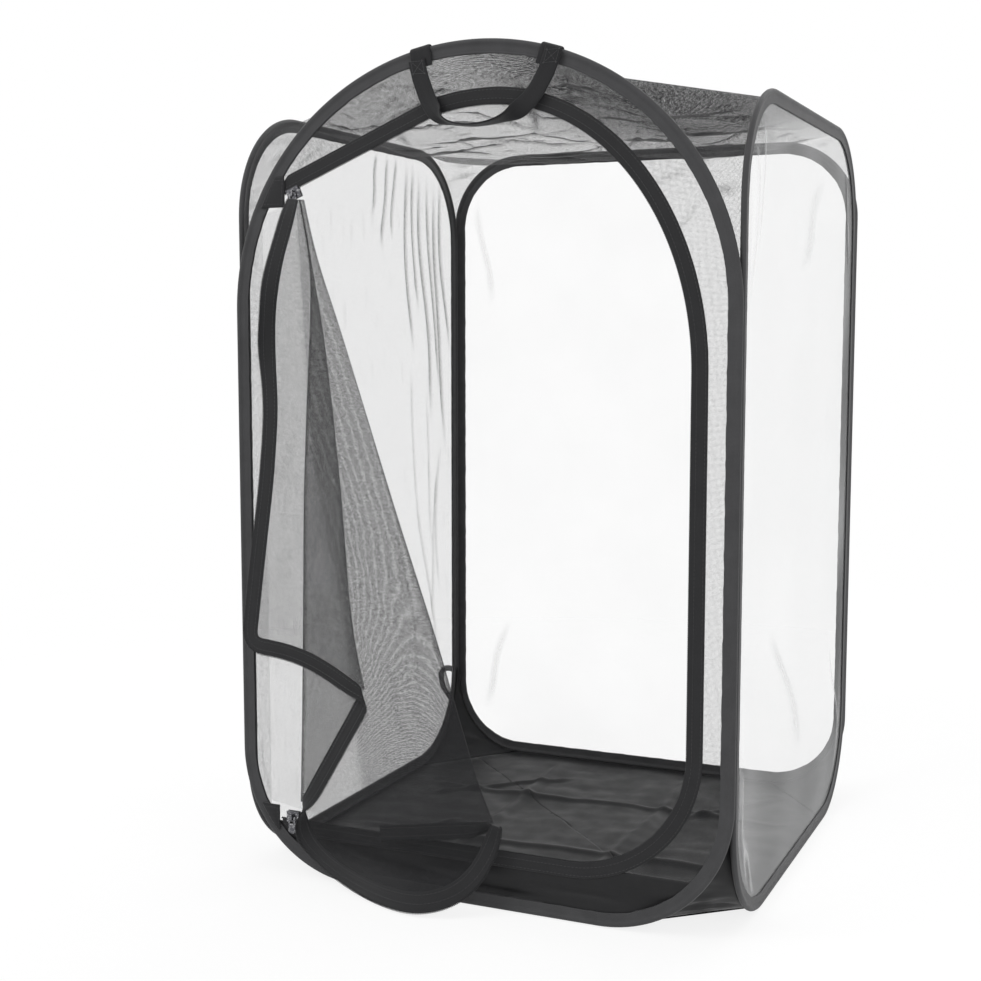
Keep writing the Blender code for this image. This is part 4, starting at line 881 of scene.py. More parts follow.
def arch_seam(side):
    """The inner side of the front arch, from the roof's front edge down to its springing."""
    angle = (ROOF_FRONT_ANGLE - ROOF_SEAM / FRONT_RISE) * (1 - np.linspace(0, 1, GORE_ROWS))
    points, inward = arch_at(angle)
    at = points + inward * SEAM_INSET
    return on_panel("front", side * at[:, 0], at[:, 1], -ROOF_GORE_OUT)


def side_to_springing(panel):
    """A side loop's front upper corner and the upright below it, down to the arch's springing."""
    reach = SIDE_CORNER - SEAM_INSET
    bend = math.pi / 2 * reach
    straight = PANEL_HEIGHT - SIDE_CORNER - FRONT_SPRINGING
    run = ROOF_SEAM + (bend + straight - ROOF_SEAM) * np.linspace(0, 1, GORE_ROWS)
    turn = np.minimum(run, bend) / reach
    across = -(SIDE_HALF - SIDE_CORNER) - reach * np.sin(turn)
    up = PANEL_HEIGHT - SIDE_CORNER + reach * np.cos(turn) - np.maximum(run - bend, 0)
    return on_panel(panel, across, up, -ROOF_GORE_OUT)


gore_net = net_finish("black_gore_net", (0.016, 0.016, 0.018), (0.034, 0.034, 0.036), (0.0008, 0.0008),
                      (0.00014, 0.00014), 2.0)
for side, word in ((-1, "left"), (1, "right")):
    for top, level in ((False, "floor"), (True, "roof")):
        for ahead, end in ((-1, "front"), (1, "back")):
            one = corner_line(word, SIDE_HALF, SIDE_CORNER, ahead, top)
            if end == "back":
                two = corner_line("back", HALF_WIDTH, BACK_CORNER, side, top)
            elif top:
                one, two = side_to_springing(word), arch_seam(side)
            else:
                two = corner_line("front", HALF_WIDTH, FRONT_FOOT, side, top)
            share = np.linspace(0, 1, GORE_COLUMNS)
            grid = one[:, None, :] * (1 - share[:, None]) + two[:, None, :] * share[:, None]
            size = np.linalg.norm(two - one, axis=1)[:, None]
            wide = size * (share - 0.5)[None, :]
            run = run_along((one + two) / 2)
            cloth = np.stack([np.broadcast_to(run[:, None], wide.shape), wide], -1)
            inwards = unit(np.array((side * 0.12, ahead * 0.12, 0.48 if top else 0.12)) - grid)
            below = np.clip(np.linspace(0, 1, GORE_ROWS) * 6, 0, 1)
            belly = np.sin(math.pi * share)[None, :] * below[:, None]
            waves = ripple(cloth[..., 0] * 1.6, cloth[..., 1] * 0.6, 0.022, 70 + 4 * side + ahead)
            push = belly * np.minimum(size, 0.06) * (GORE_BELLY + GORE_WAVES * waves)
            off_ground = 1 if top else np.clip((grid[..., 2] - 0.002) / 0.01, 0, 1)
            grid = grid + inwards * (push * off_ground)[..., None]
            outwards = side * ahead * (1 if top else -1)
            gore = surface("_".join((level, "gore", end, word)), grid, cloth,
                           gore_net if top else polyester, flip=outwards > 0)
            if top:
                mark_folds(gore, np.clip(waves - 0.3, 0, 1) * belly)
            else:
                thicken(gore, POLYESTER)
            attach(gore, "front_panel" if end == "front" else word + "_panel")
            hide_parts("_".join((level, "gusset", end, word)))
            if end == "front":
                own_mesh(gore)
            else:
                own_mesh(gore)


# Zipper on the door's frame. A woven tape is sewn to the front of the net, with two rows of stitches,
# and carries a nylon coil along its inner edge. Both its ends are tucked at the binding.
ZIP_TAPE = 0.0098
ZIP_TAPE_REAR = 0.0006
ZIP_TAPE_FRONT = 0.0014
UNDER_COIL = 0.0022
COIL_PITCH = 0.0013
COIL_WIRE = 0.00072
COIL_WIDTH = 0.0030
COIL_DEPTH = 0.0014
TAPE_TO_BINDING = 0.0123
TAPE_STITCHES = (0.0018, 0.0080)
COIL_LAP = 0.00005

zip_cloth = woven_finish("black_zip_tape", (0.011, 0.011, 0.012), (0.030, 0.030, 0.032), 0.66, 0.00080,
                         0.00012, "herringbone")
zip_cloth.node_tree.nodes["Principled BSDF"].inputs["Specular IOR Level"].default_value = 0.25


def tape_strip(name, places, out, normal, run, near, far, rear, front, finish):
    """A flat, closed strip beside a line, from near to far of it, with rolled edges."""
    share = np.array((0, 0.02, 0.06, 0.14, 0.3, 0.5, 0.7, 0.86, 0.94, 0.98, 1))
    roll = np.array((0.45, 0.18, 0.04, 0, 0, 0, 0, 0, 0.04, 0.18, 0.45))
    over = near + (far[:, None] - near) * share
    thick = front - rear
    high, low = front - roll * thick, rear + roll * thick
    section_over = np.concatenate([over, over[:, ::-1]], 1)
    section_out = np.concatenate([high, low[::-1]])[None, :] * np.ones((len(run), 1))
    grid = places[:, None] + out[:, None] * section_over[..., None]
    grid = grid + normal[:, None] * section_out[..., None]
    twice = 2 * far[:, None]
    round_it = np.concatenate([over, twice - over[:, ::-1], twice - near + thick], 1)
    cloth = np.stack([np.broadcast_to(run[:, None], round_it.shape), round_it], -1)
    return surface(name, grid, cloth, finish, wrap_columns=True, sharp=60)


def coil_copy(tree, given):
    """One turn of the coil: nylon wire wound once round the coil's flat oval section."""
    sizes = given.outputs
    turn = put(tree, "GeometryNodeCurveSpiral", {"Resolution": 12, "Rotations": 1.0, "Start Radius": 1.0,
                                                "End Radius": 1.0, "Height": sizes["Step"]})
    size = put(tree, "ShaderNodeCombineXYZ", {0: sizes["Half depth"], 1: sizes["Half width"], 2: 1.0})
    oval = put(tree, "GeometryNodeTransform", {"Geometry": turn.outputs[0], "Scale": size.outputs[0]})
    ring = put(tree, "GeometryNodeCurvePrimitiveCircle", {"Resolution": 5, "Radius": sizes["Wire radius"]})
    wound = {"Curve": oval.outputs[0], "Profile Curve": ring.outputs[0]}
    return put(tree, "GeometryNodeCurveToMesh", wound).outputs[0]


def nylon_finish():
    finish, tree, shader = new_finish("black_nylon_coil", (0.022, 0.022, 0.024), 0.46)
    shader.inputs["Specular IOR Level"].default_value = 0.3
    where = object_place(tree)
    rub = noise(tree, where, 700.0, 2.0)
    drive(shader, "Base Color", tint(tree, rub, (0.010, 0.010, 0.011), (0.026, 0.026, 0.028)))
    drive(shader, "Roughness", spread(tree, rub, 0.3, 0.7, 0.40, 0.56))
    return finish


nylon = nylon_finish()
coil_tree = seam_tree("coil turns", ("Step", "Half depth", "Half width", "Wire radius"), coil_copy)
COIL_SIZES = {"Step": COIL_PITCH, "Half depth": (COIL_DEPTH - COIL_WIRE) / 2,
              "Half width": (COIL_WIDTH - COIL_WIRE) / 2, "Wire radius": COIL_WIRE / 2}

line, run = even_line(door_line, 0.0025)
ahead = np.gradient(line, axis=0)
outward = unit(np.stack([-ahead[:, 1], ahead[:, 0]], -1))
loop_edge = even_run(edge_points, edge_inward, 2400)[0]
to_edge = np.linalg.norm(line[:, None] - loop_edge[None], axis=-1).min(1)
tape_reach = np.minimum(ZIP_TAPE, to_edge - TAPE_TO_BINDING)
places = on_panel("front", line[:, 0], line[:, 1], 0.0)
sideways = np.stack([outward[:, 0], np.zeros(len(line)), outward[:, 1]], -1)
to_viewer = np.broadcast_to((0.0, -1.0, 0.0), places.shape)
door_tape = tape_strip("door_zipper_tape", places, sideways, to_viewer, run, -UNDER_COIL, tape_reach,
                       ZIP_TAPE_REAR, ZIP_TAPE_FRONT, zip_cloth)
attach(door_tape, "front_panel")
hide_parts("door_zip_tape")
inner = places + sideways * (COIL_LAP - COIL_WIDTH / 2)
door_coil = along_seams("door_zipper_coil", [(inner, FACING["front"], False)], coil_tree, COIL_SIZES, nylon)
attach(door_coil, "front_panel")
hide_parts("door_zip_coil")
rows = []
for over in TAPE_STITCHES:
    clear = tape_reach > over + 0.001
    row = (places + sideways * over)[clear] + np.array((0, -ZIP_TAPE_FRONT, 0))
    rows.append((row, FACING["front"], False))
tape_stitches = along_seams("door_zipper_stitches", rows, stitch_tree, STITCH_SIZES, sewing_thread)
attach(tape_stitches, "front_panel")


# Zipper ends, sliders and pulls. A patch of tape is sewn over each end of the zipper, and two cast
# sliders with hinged pulls run on the coil; they are lacquered zinc, worn bright in uneven patches.
PATCH_LIFT = 0.0017
PATCH_CLOTH = 0.0008
PATCH_PUFF = 0.0005
PATCH_INSET = 0.006
# Each patch: its lower and upper edge and its right one
PATCHES = {"upper": (0.522, 0.545, -0.1548), "lower": (0.036, 0.056, SILL_START[0] - 0.002)}


def slider_finish():
    finish, tree, shader = new_finish("lacquered_zinc", (0.14, 0.14, 0.15), 0.34)
    shader.inputs["Metallic"].default_value = 0.85
    where = object_place(tree)
    scratch = noise(tree, where, 900.0, 4.0)
    wear = spread(tree, scratch, 0.50, 0.64, 0.0, 1.0, "SMOOTHSTEP")
    drive(shader, "Base Color", tint(tree, wear, (0.10, 0.10, 0.11), (0.45, 0.45, 0.46)))
    drive(shader, "Roughness", spread(tree, scratch, 0.3, 0.7, 0.44, 0.24))
    drive(shader, "Normal", bump(tree, scratch, 0.00006))
    return finish


zinc = slider_finish()
for node in ("zip_slider_upper", "zip_slider_lower", "zip_pull_upper", "zip_pull_lower"):
    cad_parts[node].data.materials.clear()
    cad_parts[node].data.materials.append(zinc)

patch_lines = []
for word, (low, high, right) in PATCHES.items():
    rows = np.linspace(low, high, 18)
    if word == "upper":
        sine = (rows - FRONT_SPRINGING) / (FRONT_RISE - PATCH_INSET)
        left = -(HALF_WIDTH - PATCH_INSET) * np.sqrt(1 - sine * sine)
    else:
        reach = FRONT_FOOT - PATCH_INSET
        left = -HALF_WIDTH + FRONT_FOOT - np.sqrt(reach ** 2 - (FRONT_FOOT - rows) ** 2)
    share = np.linspace(0, 1, 16)
    across = left[:, None] + (right - left)[:, None] * share
    up = np.broadcast_to(rows[:, None], across.shape)
    puff = np.sin(math.pi * share)[None, :] * np.sin(math.pi * (rows - low) / (high - low))[:, None]
    out = PATCH_LIFT + PATCH_CLOTH / 2 + PATCH_PUFF * puff
    patch = surface("zipper_end_patch_" + word, on_panel("front", across, up, out),
                    np.stack([across, up], -1), zip_cloth)
    thicken(patch, PATCH_CLOTH)
    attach(patch, "front_panel")
    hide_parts("zip_patch_" + word)
    face = on_panel("front", across, up, out + PATCH_CLOTH / 2)
    rim = np.vstack([face[2, 2:-2], face[2:-2, -3], face[-3, 2:-2][::-1], face[2:-2, 2][::-1]])
    patch_lines.append((rim, FACING["front"], True))
patch_stitches = along_seams("zipper_end_stitches", patch_lines, stitch_tree, STITCH_SIZES, sewing_thread)
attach(patch_stitches, "front_panel")


# Door flap. One piece of black net, sewn down at the hinge seam and left open: it hangs from its top
# corner in folds, back and forth across itself, and its lower front layer swells out over the sill.
DOOR_WIDTH = DOOR_RIGHT - HINGE_X
FLAP_HEIGHT = 0.490
FLAP_SWELL = 0.040
FLAP_OFF = 0.0008
FOLD_RADIUS = 0.0012
FLAP_ROWS = 170
FLAP_EASE = 14
TURN_COLUMNS = 9
LAYER_COLUMNS = 46
# Each fold from its top to its foot: across and up as shares of the door, depth as one of the swell
HINGE_FOLD = ((0.002, 0.966, 0.02), (0.002, 0.032, 0.02))
REAR_FOLD = ((0.092, 0.988, 0.045), (0.120, 0.600, 0.07), (0.200, 0.330, 0.09), (0.250, 0.012, 0.12))
DIAGONAL_FOLD = ((0.114, 0.988, 0.07), (0.143, 0.904, 0.09), (0.203, 0.795, 0.12), (0.275, 0.650, 0.15),
                 (0.348, 0.503, 0.18), (0.443, 0.323, 0.23), (0.514, 0.173, 0.28), (0.545, 0.110, 0.30),
                 (0.582, 0.055, 0.32))
LEFT_FOLD = ((0.104, 0.988, 0.10), (0.136, 0.892, 0.17), (0.136, 0.805, 0.20), (0.126, 0.683, 0.23),
             (0.117, 0.527, 0.26), (0.112, 0.306, 0.28), (0.107, 0.150, 0.30), (0.102, 0.045, 0.30))
PLEAT_FOLD = ((0.108, 0.988, 0.12), (0.144, 0.892, 0.26), (0.176, 0.790, 0.33), (0.199, 0.683, 0.38),
              (0.224, 0.531, 0.42), (0.241, 0.390, 0.46), (0.257, 0.310, 0.48), (0.282, 0.243, 0.50))
FREE_EDGE = ((0.101, 0.988, 0.14), (0.092, 0.950, 0.21), (0.072, 0.900, 0.32), (0.057, 0.836, 0.38),
             (0.053, 0.774, 0.40), (0.062, 0.666, 0.42), (0.049, 0.557, 0.44), (0.026, 0.430, 0.49),
             (0.004, 0.305, 0.53))
FRONT_LAYER = (0, 0.063, 0.16, 0.26, 0.378, 0.529, 0.676, 0.785, 0.895, 1)
FRONT_FOOT_LINE = ((0.582, 0.055, 0.32), (0.568, 0.024, 0.36), (0.545, -0.014, 0.48),
                   (0.504, -0.044, 0.70), (0.431, -0.056, 0.96), (0.329, -0.056, 0.76),
                   (0.236, -0.052, 0.44), (0.163, -0.036, 0.30), (0.112, -0.002, 0.28),
                   (0.102, 0.045, 0.30))
FOOT_POWER = 7
HEM_BOW = 0.008
HEM_START = 0.72
LAYER_WAVES = {5: 0.0016, 7: 0.0007, 9: 0.0007}
OTHER_WAVES = 0.0004
# The flap's layers and turns, counted from its hinge to its free edge
PARTS = 11
REAR_PART, DIAGONAL_TURN, FRONT_PART, LEFT_TURN, PLEAT_TURN, HEM_PART = 3, 4, 5, 6, 8, 9
# How closely the net is drawn together in each of them
GATHERED = (0.0, 0.0, 0.06, 0.31, 0.39, 0.25, 0.47, 0.33, 0.39, 0.26, 0.26)
FLAP_CREASES = ((-0.052, 0.162, -0.004, 0.116, 0.0034), (-0.026, 0.172, 0.006, 0.108, 0.0026),
                (-0.070, 0.190, -0.040, 0.120, 0.0030), (-0.060, 0.090, -0.020, 0.060, 0.0030))
FLAP_CREASE_DEPTH = 0.0016


def eased(values, reach):
    """Rows of values with their corners rounded over a reach of rows; both ends stay."""
    lead = values[:1] * 2 - values[1:reach + 1][::-1]
    tail = values[-1:] * 2 - values[-reach - 1:-1][::-1]
    padded = np.concatenate([lead, values, tail])
    weights = np.hanning(2 * reach + 3)[1:-1]
    weights /= weights.sum()
    return sum(weight * padded[k:k + len(values)] for k, weight in enumerate(weights))


def flap_place(shares):
    """Places of the flap's folds in the cage's frame."""
    shares = np.asarray(shares)
    out = FLAP_OFF + FLAP_SWELL * shares[..., 2]
    return np.stack([HINGE_X + DOOR_WIDTH * shares[..., 0], -PANEL_PLANE - out,
                     DOOR_SILL + FLAP_HEIGHT * shares[..., 1]], -1)


def fold_line(table, share):
    """A fold's places at each row of the flap, from its table."""
    table = np.array(table)
    up = table[0, 1] + (table[-1, 1] - table[0, 1]) * share
    over, out = (np.interp(-up, -table[:, 1], table[:, k]) for k in (0, 2))
    return flap_place(eased(np.stack([over, up, out], -1), FLAP_EASE))


def turn_round(edge, reach):
    """The cloth's turn at a fold: from behind, round the fold's edge and back in front."""
    angle = np.linspace(-math.pi / 2, math.pi / 2, TURN_COLUMNS)
    step = [np.cos(angle) * reach - reach, -np.sin(angle) * abs(reach), np.zeros(TURN_COLUMNS)]
    return edge[:, None] + np.stack(step, -1)[None]


def between(one, two, count):
    """Columns of cloth from one fold to the next, without the two ends."""
    share = np.linspace(0, 1, count + 2)[1:-1]
    return one[:, None] + (two - one)[:, None] * share[None, :, None]


def square_to(vectors, line):
    """Vectors leant until they stand square to a line's directions, at length 1."""
    return unit(vectors - line * np.sum(vectors * line, axis=1)[:, None])


def rows_at(values, at, places):
    """Rows of values, given at some places, read at others."""
    return np.stack([np.interp(places, at, np.asarray(values)[:, k]) for k in range(3)], -1)


share = np.linspace(0, 1, FLAP_ROWS)
hinge, rear, diagonal, left_fold, pleat, free_edge = (
    fold_line(table, share)
    for table in (HINGE_FOLD, REAR_FOLD, DIAGONAL_FOLD, LEFT_FOLD, PLEAT_FOLD, FREE_EDGE))
diagonal_turn = turn_round(diagonal, FOLD_RADIUS)
left_turn = turn_round(left_fold, -FOLD_RADIUS)
pleat_turn = turn_round(pleat, FOLD_RADIUS)
layer = between(diagonal_turn[:, -1], left_turn[:, 0], LAYER_COLUMNS)
foot_start, foot_end = np.array(DIAGONAL_FOLD[-1]), np.array(LEFT_FOLD[-1])
straight_foot = foot_start + (foot_end - foot_start) * np.array(FRONT_LAYER)[:, None]
swell = flap_place(FRONT_FOOT_LINE) - flap_place(straight_foot)
over = np.linspace(0, 1, LAYER_COLUMNS + 2)
swell = eased(rows_at(swell, FRONT_LAYER, over), 5)[1:-1]
layer = layer + swell[None] * (share ** FOOT_POWER)[:, None, None]
flap_parts = [hinge[:, None], between(hinge, rear, 7), rear[:, None], between(rear, diagonal_turn[:, 0], 14),
              diagonal_turn, layer, left_turn, between(left_turn[:, -1], pleat_turn[:, 0], 18), pleat_turn,
              between(pleat_turn[:, -1], free_edge, 14), free_edge[:, None]]
hem_lift = (np.clip((share - HEM_START) / (1 - HEM_START), 0, 1)[:, None] ** 2
            * np.sin(math.pi * np.linspace(0, 1, 16)[1:-1]))
flap_parts[HEM_PART][..., 2] += HEM_BOW * hem_lift
flap_grid = np.concatenate(flap_parts, 1)
part_of = np.concatenate([np.full(part.shape[1], k) for k, part in enumerate(flap_parts)])
inside = np.concatenate([np.sin(math.pi * (np.arange(part.shape[1]) + 0.5) / part.shape[1])
                         for part in flap_parts])
loose = np.array([LAYER_WAVES.get(k, OTHER_WAVES) if k % 2 else 0 for k in range(PARTS)])[part_of] * inside
step = np.linalg.norm(np.diff(flap_grid, axis=1), axis=-1)
cloth_over = np.concatenate([np.zeros((FLAP_ROWS, 1)), np.cumsum(step, axis=1)], 1)
fall = run_along(layer[:, LAYER_COLUMNS // 2])
cloth_down = np.broadcast_to(fall[:, None], cloth_over.shape)
fall_share = np.sin(math.pi * np.clip(share * 1.08, 0, 1)) ** 0.5
waves = (ripple(cloth_over * 1.5, cloth_down * 0.45, 0.045, 81)
         + 0.6 * ripple(cloth_over, cloth_down * 0.6, 0.022, 82))
towards = np.array((0, -1, 0))
flap_grid = flap_grid + towards * (loose[None, :] * fall_share[:, None] * waves)[..., None]
gathered = np.array(GATHERED)[part_of][None, :] * np.ones((FLAP_ROWS, 1))
is_turn = np.isin(part_of, (DIAGONAL_TURN, LEFT_TURN, PLEAT_TURN))
turning = np.where(is_turn, inside ** 2, 0)[None, :] * 0.19
creased = creases(flap_grid[..., 0], flap_grid[..., 2], FLAP_CREASES) * (part_of == FRONT_PART)[None, :]
flap_grid = flap_grid + towards * (FLAP_CREASE_DEPTH * creased)[..., None]
flap_net = net_finish("black_flap_net", (0.017, 0.017, 0.019), (0.034, 0.034, 0.037), (0.0008, 0.0008),
                      (0.000056, 0.000056), 9.0)
flap = surface("door_flap_net", flap_grid, np.stack([cloth_over, cloth_down], -1), flap_net)
gathers = np.clip(ripple(cloth_over * 1.5, cloth_down * 0.45, 0.030, 83) - 0.9, 0, 1)
# Near the ground the layers are drawn denser and darker: painted shade where they hang in the cage's shadow.
painted_shade_near_ground = np.clip((0.034 - flap_grid[..., 2]) / 0.014, 0, 1)
mark_folds(flap, gathered + turning + 0.06 * gathers + 0.10 * creased + 0.9 * painted_shade_near_ground)
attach(flap, "door_flap")
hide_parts("door_flap")


# Zipper on the flap. The other half of the zipper is sewn along the flap's free edge and back along
# its foot: tape with two rows of stitches on each face, and the coil on its outer edge.
FLAP_TAPE = 0.0110
FLAP_TAPE_FOOT = 0.0032
FLAP_TAPE_LAP = 0.0015
FLAP_TAPE_HALF = 0.0004
FLAP_COIL_LAP = 0.0004
FLAP_TAPE_STITCHES = (0.0010, 0.0075)
STITCH_OFF = 0.00042
RIM_STEP = 0.0018
TIP_REACH = 0.014
TAPE_TURN = 0.068
LEFT_TURN_SHIFT = 0.012
# The tape leans sideways once on its way down: the run there, how far it reaches, and the angle
TAPE_LEAN = (0.090, 0.030, -0.83)

last_row, last_column = FLAP_ROWS - 1, flap_grid.shape[1] - 1
rim = [(i, last_column) for i in range(FLAP_ROWS)]
rim += [(last_row, j) for j in range(last_column - 1, int(np.argmax(part_of == REAR_PART)), -1)]
edge, facing = [], []
for i, j in rim:
    along = flap_grid[i, min(j + 1, last_column)] - flap_grid[i, j - 1]
    down = flap_grid[min(i + 1, last_row), j] - flap_grid[max(i - 1, 0), j]
    normal = np.cross(along, down)
    edge.append(flap_grid[i, j])
    facing.append(normal / np.linalg.norm(normal))
rim_run = run_along(edge)
run = np.linspace(0, rim_run[-1], round(rim_run[-1] / RIM_STEP))
edge, facing = rows_at(edge, rim_run, run), rows_at(facing, rim_run, run)
turn_columns = [int(np.flatnonzero(part_of == part).mean())
                for part in (PLEAT_TURN, LEFT_TURN, DIAGONAL_TURN)]
pleat_tip, left_foot, diagonal_foot = (rim_run[last_row + last_column - column] for column in turn_columns)
near_tip = np.exp(-((run - pleat_tip) / TIP_REACH) ** 2)[:, None]
edge = eased(edge, 6) * (1 - near_tip) + eased(edge, 8) * near_tip
along_edge = unit(np.gradient(edge, axis=0))
# The net's own normal flips at each turn; the tape's facing is made to run on through them
turned = ((run > pleat_tip) * 1.0 - (run > left_foot) + (run > diagonal_foot))[:, None]
facing = facing * (1 - 2 * turned)
for _ in range(3):
    facing = square_to(eased(facing, 6), along_edge)
facing = facing * np.where(run > pleat_tip, -1.0, 1.0)[:, None]
# At the foot's two folds the tape turns over with the net, so it stands on edge there
turning = TAPE_LEAN[2] * np.exp(-((run - TAPE_LEAN[0]) / TAPE_LEAN[1]) ** 2)
for at in (left_foot + LEFT_TURN_SHIFT, diagonal_foot):
    turning = turning + math.pi * smooth((run - at) / TAPE_TURN + 0.5)
turning = turning[:, None]
facing = facing * np.cos(turning) + np.cross(along_edge, facing) * np.sin(turning)
# At the pleat's tip it is folded flat, so it points down the fold on both sides
down_fold = flap_grid[last_row, turn_columns[0]] - flap_grid[last_row - 6, turn_columns[0]]
out = np.cross(along_edge, facing) * (1 - near_tip) + down_fold / np.linalg.norm(down_fold) * near_tip
out = unit(eased(out, 5))
facing = square_to(np.cross(out, along_edge) + 0.2 * facing, out)
run = run_along(edge)
reach = FLAP_TAPE + FLAP_TAPE_FOOT * np.clip((0.045 - edge[:, 2]) / 0.030, 0, 1)
flap_tape = tape_strip("flap_zipper_tape", edge, out, facing, run, -FLAP_TAPE_LAP, reach,
                       -FLAP_TAPE_HALF, FLAP_TAPE_HALF, zip_cloth)
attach(flap_tape, "door_flap")
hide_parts("flap_zip_tape")
coil_line = edge + out * (reach[:, None] - FLAP_COIL_LAP)
flap_coil = along_seams("flap_zipper_coil", [(coil_line, facing, False)], coil_tree, COIL_SIZES, nylon)
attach(flap_coil, "door_flap")
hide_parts("flap_zip_coil")
flap_rows = [(edge + out * over + facing * face * STITCH_OFF, facing * face, False)
             for over in FLAP_TAPE_STITCHES for face in (1, -1)]
flap_stitches = along_seams("flap_zipper_stitches", flap_rows, stitch_tree, STITCH_SIZES, sewing_thread)
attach(flap_stitches, "door_flap")
for piece in (flap, flap_tape, flap_coil, flap_stitches):
    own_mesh(piece)


# Carrying handle. Flat webbing is wrapped over the arch at two places, and a short strap of the same
# webbing hangs between them in a shallow bow; its ends are sewn with a box and a cross.
STRAP_WIDTH = 0.013
STRAP_THICK = 0.0012
HANDLE_LEFT = -0.040
HANDLE_RIGHT = 0.062
HANDLE_PIVOT_DROP = 0.010
HANDLE_SWELL = 0.010
HANDLE_GAP = 0.0003
# The strap's route from its left end to its right one: places across, and how far below its ends
STRAP_ROUTE = ((-0.0415, -0.007), (-0.039, 0.004), (-0.035, 0.015), (-0.030, 0.026), (-0.021, 0.0355),
               (-0.007, 0.041), (0.009, 0.0430), (0.025, 0.0405), (0.039, 0.034), (0.049, 0.024),
               (0.056, 0.013), (0.0615, 0.002), (0.0645, -0.008))
# Half of the strap's section, as shares of its width and thickness
STRAP_SECTION = ((0.5, 0.2), (0.47, 0.5), (0.25, 0.5), (0, 0.5), (-0.25, 0.5), (-0.47, 0.5), (-0.5, 0.2))
# The sewn box at each end: half its width, and from where to where along the strap
BOX_HALF = 0.0045
BOX_SPAN = (0.001, 0.010)
BOX_STEP = 0.0022
TAB_WIDTH = 0.016
TAB_INNER = 0.0025
TAB_OUTER = 0.0037
TAB_LENGTHS = (0.014, 0.0048)
BULGE = 0.0022

webbing = woven_finish("black_webbing", (0.007, 0.007, 0.008), (0.021, 0.021, 0.023), 0.7, 0.0011, 0.00022,
                       "herringbone", sheen=0.12)


def tab_section(radius):
    """The tab's path over the loop, from its front end to its rear one: inset and depth."""
    turn = np.linspace(math.pi / 2, 3 * math.pi / 2, 17)
    over = np.stack([BULGE + radius * np.cos(turn), radius * np.sin(turn)], -1)
    front, rear = TAB_LENGTHS
    return np.vstack([[(front, radius), (front * 0.5, radius)], over, [(rear, -radius)]])


for word, at in (("left", HANDLE_LEFT), ("right", HANDLE_RIGHT)):
    point, inward = arch_at(np.array(math.acos(at / HALF_WIDTH)))
    along = np.array((-inward[1], inward[0]))
    section = np.vstack([tab_section(TAB_OUTER), tab_section(TAB_INNER)[::-1]])
    length = run_along(section)
    length = np.append(length, length[-1] + TAB_OUTER - TAB_INNER)
    shift = np.array((-0.5, -0.48, -0.42, -0.25, 0, 0.25, 0.42, 0.48, 0.5)) * TAB_WIDTH
    thin = np.array((0.5, 0.22, 0, 0, 0, 0, 0, 0.22, 0.5)) * (TAB_OUTER - TAB_INNER)
    ray = section - np.array((BULGE, 0))
    is_outer = np.arange(len(section)) < len(section) // 2
    grid = []
    for over, less in zip(shift, thin):
        scale = np.where(is_outer, -less, less)[:, None] * ray / np.linalg.norm(ray, axis=1)[:, None]
        moved = section + np.where(np.abs(ray[:, :1]) < 0.004, scale, scale * (0, 1))
        flat = point + along * over + inward * moved[:, :1]
        grid.append(on_panel("front", flat[:, 0], flat[:, 1], moved[:, 1]))
    cloth = np.stack(np.meshgrid(shift, length, indexing="ij"), -1)[..., ::-1]
    tab = surface("handle_loop_" + word, np.array(grid), cloth, webbing, wrap_columns=True, sharp=55)
    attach(tab, "front_panel")
    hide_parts("handle_tab_" + word)

crown_up = float(arch_at(np.array(math.acos(HANDLE_RIGHT / HALF_WIDTH)))[0][1])
pivot_up = crown_up - HANDLE_PIVOT_DROP
pivot_out = TAB_OUTER + HANDLE_GAP + STRAP_THICK / 2
route = np.array(STRAP_ROUTE)
share = np.linspace(0, 1, 97)
steps = np.linspace(0, 1, len(route))
route = eased(np.stack([np.interp(share, steps, route[:, k]) for k in (0, 1)], -1), 7)
lean = (np.maximum(route[:, 1], 0) / route[:, 1].max()) ** 4
spine = on_panel("front", route[:, 0], pivot_up - route[:, 1], pivot_out + HANDLE_SWELL * lean)
ahead = unit(np.gradient(spine, axis=0))
end_wide = np.where(share <= 0.5, 1.0, -1.0)[:, None] * np.array((1.0, 0, 0))
wide = square_to(end_wide * (1 - lean[:, None]) + np.array((0, -1.0, 0)) * lean[:, None], ahead)
thin = np.cross(ahead, wide)
half_section = np.array(STRAP_SECTION)
section = np.vstack([half_section, -half_section])
grid = (spine[:, None] + wide[:, None] * section[None, :, :1] * STRAP_WIDTH
        + thin[:, None] * section[None, :, 1:] * STRAP_THICK)
run = run_along(spine)
round_it = np.append((section[:, 0] + 0.5) * STRAP_WIDTH, STRAP_WIDTH)
strap = surface("handle_strap", grid, np.stack(np.meshgrid(run, round_it, indexing="ij"), -1), webbing,
                wrap_columns=True, sharp=55)
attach(strap, "carry_handle")
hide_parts("carry_strap")
box_lines = []
for end, sign in ((0, 1), (-1, -1)):
    base = spine[end] + np.array((0, -STRAP_THICK / 2, 0))
    corners = [base + np.array((a * BOX_HALF, 0, 0)) + sign * ahead[end] * b
               for a, b in ((-1, BOX_SPAN[0]), (1, BOX_SPAN[0]), (1, BOX_SPAN[1]), (-1, BOX_SPAN[1]))]
    for one, two in ((0, 1), (1, 2), (2, 3), (3, 0), (0, 2), (1, 3)):
        box_lines.append((np.linspace(corners[one], corners[two], 6), FACING["front"], False))
box_stitches = along_seams("handle_box_stitches", box_lines, stitch_tree, {**STITCH_SIZES, "Step": BOX_STEP},
                           sewing_thread)
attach(box_stitches, "carry_handle")


